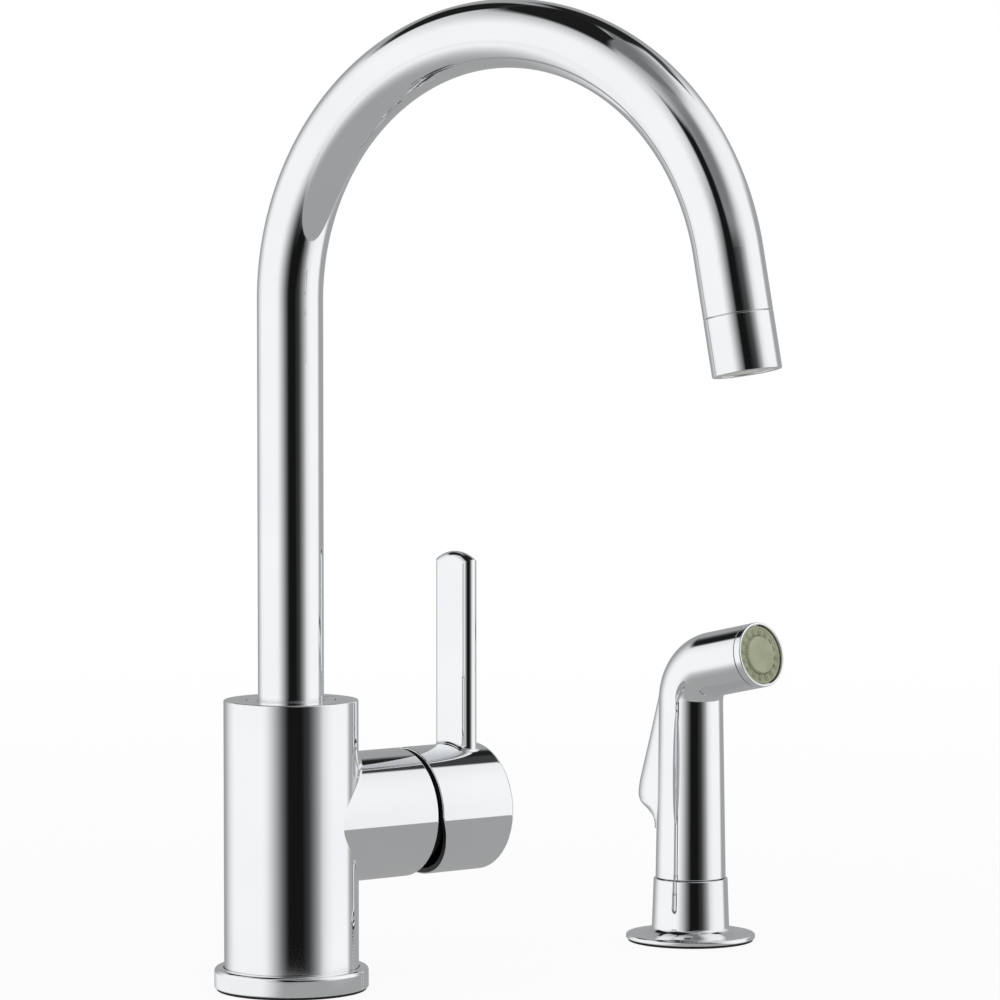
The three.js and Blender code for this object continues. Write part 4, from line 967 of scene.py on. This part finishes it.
def plunger_spring():
    """Wire wound between the valve's boss and the plunger's collar."""
    wire, radius, turns, steps, sides = 0.4, 3.2, 4.5, 180, 10
    start, end = -18.1, -10.2
    points = []
    for i in range(steps + 1):
        angle = TAU * turns * i / steps
        outward = Vector((0, math.cos(angle), math.sin(angle)))
        climb = (end - start) / (TAU * turns)
        along = Vector((climb, -radius * math.sin(angle), radius * math.cos(angle))).normalized()
        across = along.cross(outward)
        centre = Vector((start + (end - start) * i / steps, 0, 0)) + radius * outward
        for k in range(sides):
            swing = TAU * k / sides
            points.append(tuple(centre + wire * (math.cos(swing) * outward + math.sin(swing) * across)))
    faces = [tuple(reversed(range(sides))), tuple(range(steps * sides, (steps + 1) * sides))]
    for i in range(steps):
        for k in range(sides):
            n = (k + 1) % sides
            faces.append((i * sides + k, i * sides + n, (i + 1) * sides + n, (i + 1) * sides + k))
    return made("plunger_spring_fine", points, faces, WAND @ Matrix.Translation((0, 0, PIVOT_HEIGHT - 28)))


def add_wand():
    dressed(wand_shell(), "wand_shell", "chrome")
    dressed(trigger(), "spray_trigger", "chrome")
    dressed(spray_face(), "spray_face", "face_plastic")
    inside = 12.3
    bezel = [(inside, BEZEL_START), (GRIP_RADIUS, BEZEL_START, 0.15)]
    bezel += [(GRIP_RADIUS, HEAD_LENGTH, 0.45), (inside, HEAD_LENGTH, 0.3)]
    turned("face_bezel", "chrome", bezel, HEAD)
    spring = dressed(plunger_spring(), "plunger_spring", "steel")
    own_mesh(spring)
    bore, radius, crimped = 3.5, 8, 7.5
    crimps = []
    for height in (-7, -4.5, -2):
        crimps += [(radius, height - 0.6, 0.2), (crimped, height - 0.35, 0.2)]
        crimps += [(crimped, height + 0.35, 0.2), (radius, height + 0.6, 0.2)]
    coupling = [(bore, -10, 0.3), (radius, -10, 0.4), *crimps, (radius, 5.7, 0.3), (bore, 5.7)]
    turned("hose_coupling", "brass", coupling, WAND, 96)


# ---- Studio ----

# Soft boxes and dark flags round the part, where a later one covers an earlier one:
# (name, turn, height, half turn, half height, softness, lean, level).
# Turn is in degrees from the camera's side to its right, and height in degrees above the horizon. Lean moves
# a panel to the left with each degree of height, and a level is a brightness, with 1 for white.
PANELS = [
    ("upper right near", 34, 40, 34, 22, 26, 0, 0.2),
    ("upper right", 92, 42, 42, 22, 50, 0, 0.8),
    ("overhead", 55, 85, 110, 22, 8, 0, 0.18),
    ("front dark", 8, -4, 48, 22, 12, 0, 0.03),
    ("left box", -79, 4, 53, 42, 50, 0, 1.0),
    ("overhead left", -112, 84, 72, 27, 8, 0, 0.012),
    ("back left flag", -142, 46, 20, 14, 7, 0, 0.012),
    ("right box", 97, 8, 42, 52, 54, 0, 1.0),
    ("back right", 152, -2, 34, 22, 16, 0, 0.38),
    ("back right flag", 164, 58, 22, 17, 7, 0, 0.015),
    ("boss streak", 136, 52, 12, 6, 6, 0, 0.05),
    ("centre flag", 8, -2, 11, 15, 8, 0, 0.008),
    ("leaning flag", 4, 8, 12, 34, 9, 0.55, 0.008),
]
BETWEEN_PANELS = 0.36  # level where there is no panel


def maths(tree, operation, *terms):
    """The result of a Math node whose terms are sockets or numbers."""
    node = tree.nodes.new("ShaderNodeMath")
    node.operation = operation
    for socket, term in zip(node.inputs, terms):
        if isinstance(term, bpy.types.NodeSocket):
            tree.links.new(term, socket)
        else:
            socket.default_value = term
    return node.outputs[0]


def surround_level(tree):
    """Brightness of the studio's panels in the direction that a reflected ray leaves in."""
    place = tree.nodes.new("ShaderNodeTexCoord")
    axes = tree.nodes.new("ShaderNodeSeparateXYZ")
    tree.links.new(place.outputs["Generated"], axes.inputs[0])
    x, y, z = axes.outputs
    degree = math.degrees(1)
    towards = math.degrees(math.atan2(-CAMERA_HEADING[1], -CAMERA_HEADING[0]))
    turn = maths(tree, "SUBTRACT", maths(tree, "MULTIPLY", maths(tree, "ARCTAN2", y, x), degree), towards)
    height = maths(tree, "MULTIPLY", maths(tree, "ARCSINE", z), degree)
    level = BETWEEN_PANELS
    for name, side, rise, half_turn, half_height, soft, lean, value in PANELS:
        up = maths(tree, "SUBTRACT", height, rise)
        off = maths(tree, "SUBTRACT", turn, side)
        if lean:
            off = maths(tree, "ADD", off, maths(tree, "MULTIPLY", up, lean))
        off = maths(tree, "WRAP", off, 180, -180)
        past = maths(tree, "SUBTRACT", maths(tree, "ABSOLUTE", off), half_turn)
        over = maths(tree, "SUBTRACT", maths(tree, "ABSOLUTE", up), half_height)
        edge = tree.nodes.new("ShaderNodeMapRange")
        edge.label = name
        edge.interpolation_type = "SMOOTHSTEP"
        tree.links.new(maths(tree, "SMOOTH_MAX", past, over, soft / 2), edge.inputs["Value"])
        edge.inputs["From Min"].default_value, edge.inputs["From Max"].default_value = soft / 2, -soft / 2
        mix = tree.nodes.new("ShaderNodeMix")
        tree.links.new(edge.outputs["Result"], mix.inputs["Factor"])
        if isinstance(level, bpy.types.NodeSocket):
            tree.links.new(level, mix.inputs["A"])
        else:
            mix.inputs["A"].default_value = level
        mix.inputs["B"].default_value = value
        level = mix.outputs["Result"]
    return level


def add_world():
    """Even light for what is not a mirror, white behind the part, and the panels in its reflections."""
    world = bpy.data.worlds.new("surround")
    scene.world = world
    world.use_nodes = True
    tree = world.node_tree
    tree.nodes.clear()
    path = tree.nodes.new("ShaderNodeLightPath")
    plain, white, panels = [tree.nodes.new("ShaderNodeBackground") for _ in range(3)]
    plain.inputs["Color"].default_value = (1, 1, 1, 1)
    plain.inputs["Strength"].default_value = 0.75
    white.inputs["Color"].default_value = (1, 1, 1, 1)
    tint = tree.nodes.new("ShaderNodeMix")
    tint.data_type = "RGBA"
    tint.inputs["A"].default_value, tint.inputs["B"].default_value = (0, 0, 0, 1), (0.985, 0.995, 1, 1)
    tree.links.new(surround_level(tree), tint.inputs["Factor"])
    tree.links.new(tint.outputs["Result"], panels.inputs["Color"])
    mirrored, seen = tree.nodes.new("ShaderNodeMixShader"), tree.nodes.new("ShaderNodeMixShader")
    bounced = maths(tree, "MAXIMUM", path.outputs["Is Glossy Ray"], path.outputs["Is Transmission Ray"])
    tree.links.new(bounced, mirrored.inputs["Fac"])
    tree.links.new(plain.outputs[0], mirrored.inputs[1])
    tree.links.new(panels.outputs[0], mirrored.inputs[2])
    tree.links.new(path.outputs["Is Camera Ray"], seen.inputs["Fac"])
    tree.links.new(mirrored.outputs[0], seen.inputs[1])
    tree.links.new(white.outputs[0], seen.inputs[2])
    out = tree.nodes.new("ShaderNodeOutputWorld")
    tree.links.new(seen.outputs[0], out.inputs["Surface"])


def add_floor():
    """White floor that keeps the part's shadow and turns into the white backdrop farther away."""
    wide = 9000
    corners = [(-wide, -wide, 0), (wide, -wide, 0), (wide, wide, 0), (-wide, wide, 0)]
    floor = made("floor", corners, [(0, 1, 2, 3)])
    paper = bpy.data.materials.new("paper")
    paper.use_nodes = True
    tree = paper.node_tree
    diffuse = tree.nodes["Principled BSDF"]
    diffuse.inputs["Base Color"].default_value = (0.9, 0.9, 0.9, 1)
    diffuse.inputs["Roughness"].default_value = 0.9
    glow, mix, path = [tree.nodes.new("ShaderNode" + kind) for kind in ("Emission", "MixShader", "LightPath")]
    place = tree.nodes.new("ShaderNodeTexCoord")
    away = tree.nodes.new("ShaderNodeVectorMath")
    away.operation = "LENGTH"
    tree.links.new(place.outputs["Object"], away.inputs[0])
    share = tree.nodes.new("ShaderNodeMapRange")
    tree.links.new(away.outputs["Value"], share.inputs["Value"])
    share.inputs["From Min"].default_value, share.inputs["From Max"].default_value = 0.3, 1.5
    share.inputs["To Min"].default_value, share.inputs["To Max"].default_value = 0.9, 1
    seen = maths(tree, "MULTIPLY", path.outputs["Is Camera Ray"], share.outputs["Result"])
    tree.links.new(seen, mix.inputs["Fac"])
    tree.links.new(diffuse.outputs[0], mix.inputs[1])
    tree.links.new(glow.outputs[0], mix.inputs[2])
    tree.links.new(mix.outputs[0], tree.nodes["Material Output"].inputs["Surface"])
    floor.data.materials.append(paper)
    floor.visible_glossy = False


def add_painted_table_reflection():
    """Grey disc well below the deck that glows and shows only in mirrors: a painted reflection of a tabletop
    in the metal's lower sides, with painted light brighter on its left.
    """
    rim, steps, drop = 1040, 96, -153
    points = [(rim * math.cos(TAU * k / steps), rim * math.sin(TAU * k / steps), drop) for k in range(steps)]
    painted_table_reflection = made("painted_table_reflection", points, [tuple(range(steps))])
    material = bpy.data.materials.new("painted_table_reflection")
    material.use_nodes = True
    tree = material.node_tree
    tree.nodes.clear()
    place = tree.nodes.new("ShaderNodeTexCoord")
    axes = tree.nodes.new("ShaderNodeSeparateXYZ")
    tree.links.new(place.outputs["Object"], axes.inputs[0])
    x, y = axes.outputs[0], axes.outputs[1]
    ahead_x, ahead_y = CAMERA_HEADING
    left = maths(tree, "SUBTRACT", maths(tree, "MULTIPLY", y, ahead_x), maths(tree, "MULTIPLY", x, ahead_y))
    # Painted light: the disc's glow rises from 0.37 to 0.95 towards its left.
    ramp = tree.nodes.new("ShaderNodeMapRange")
    ramp.interpolation_type = "SMOOTHSTEP"
    tree.links.new(left, ramp.inputs["Value"])
    ramp.inputs["From Min"].default_value, ramp.inputs["From Max"].default_value = 0.1, 0.75
    ramp.inputs["To Min"].default_value, ramp.inputs["To Max"].default_value = 0.37, 0.95
    glow, out = tree.nodes.new("ShaderNodeEmission"), tree.nodes.new("ShaderNodeOutputMaterial")
    tree.links.new(ramp.outputs["Result"], glow.inputs["Strength"])
    tree.links.new(glow.outputs[0], out.inputs["Surface"])
    painted_table_reflection.data.materials.append(material)
    painted_table_reflection.visible_camera = painted_table_reflection.visible_diffuse = painted_table_reflection.visible_shadow = False


def add_lamp():
    lamp = bpy.data.objects.new("key", bpy.data.lights.new("key", "AREA"))
    lamp.data.size = 1.6
    lamp.data.energy = 14
    lamp.location = (-1.2, -1.6, 2.2)
    lamp.rotation_euler = (Vector((0.1, 0, 0.15)) - lamp.location).to_track_quat("-Z", "Y").to_euler()
    lamp.visible_glossy = False
    scene.collection.objects.link(lamp)


colour_solids()
add_base()
add_valve()
add_spout()
add_holder()
add_wand()
add_world()
add_floor()
add_painted_table_reflection()
add_lamp()
scene.view_settings.view_transform = "Standard"
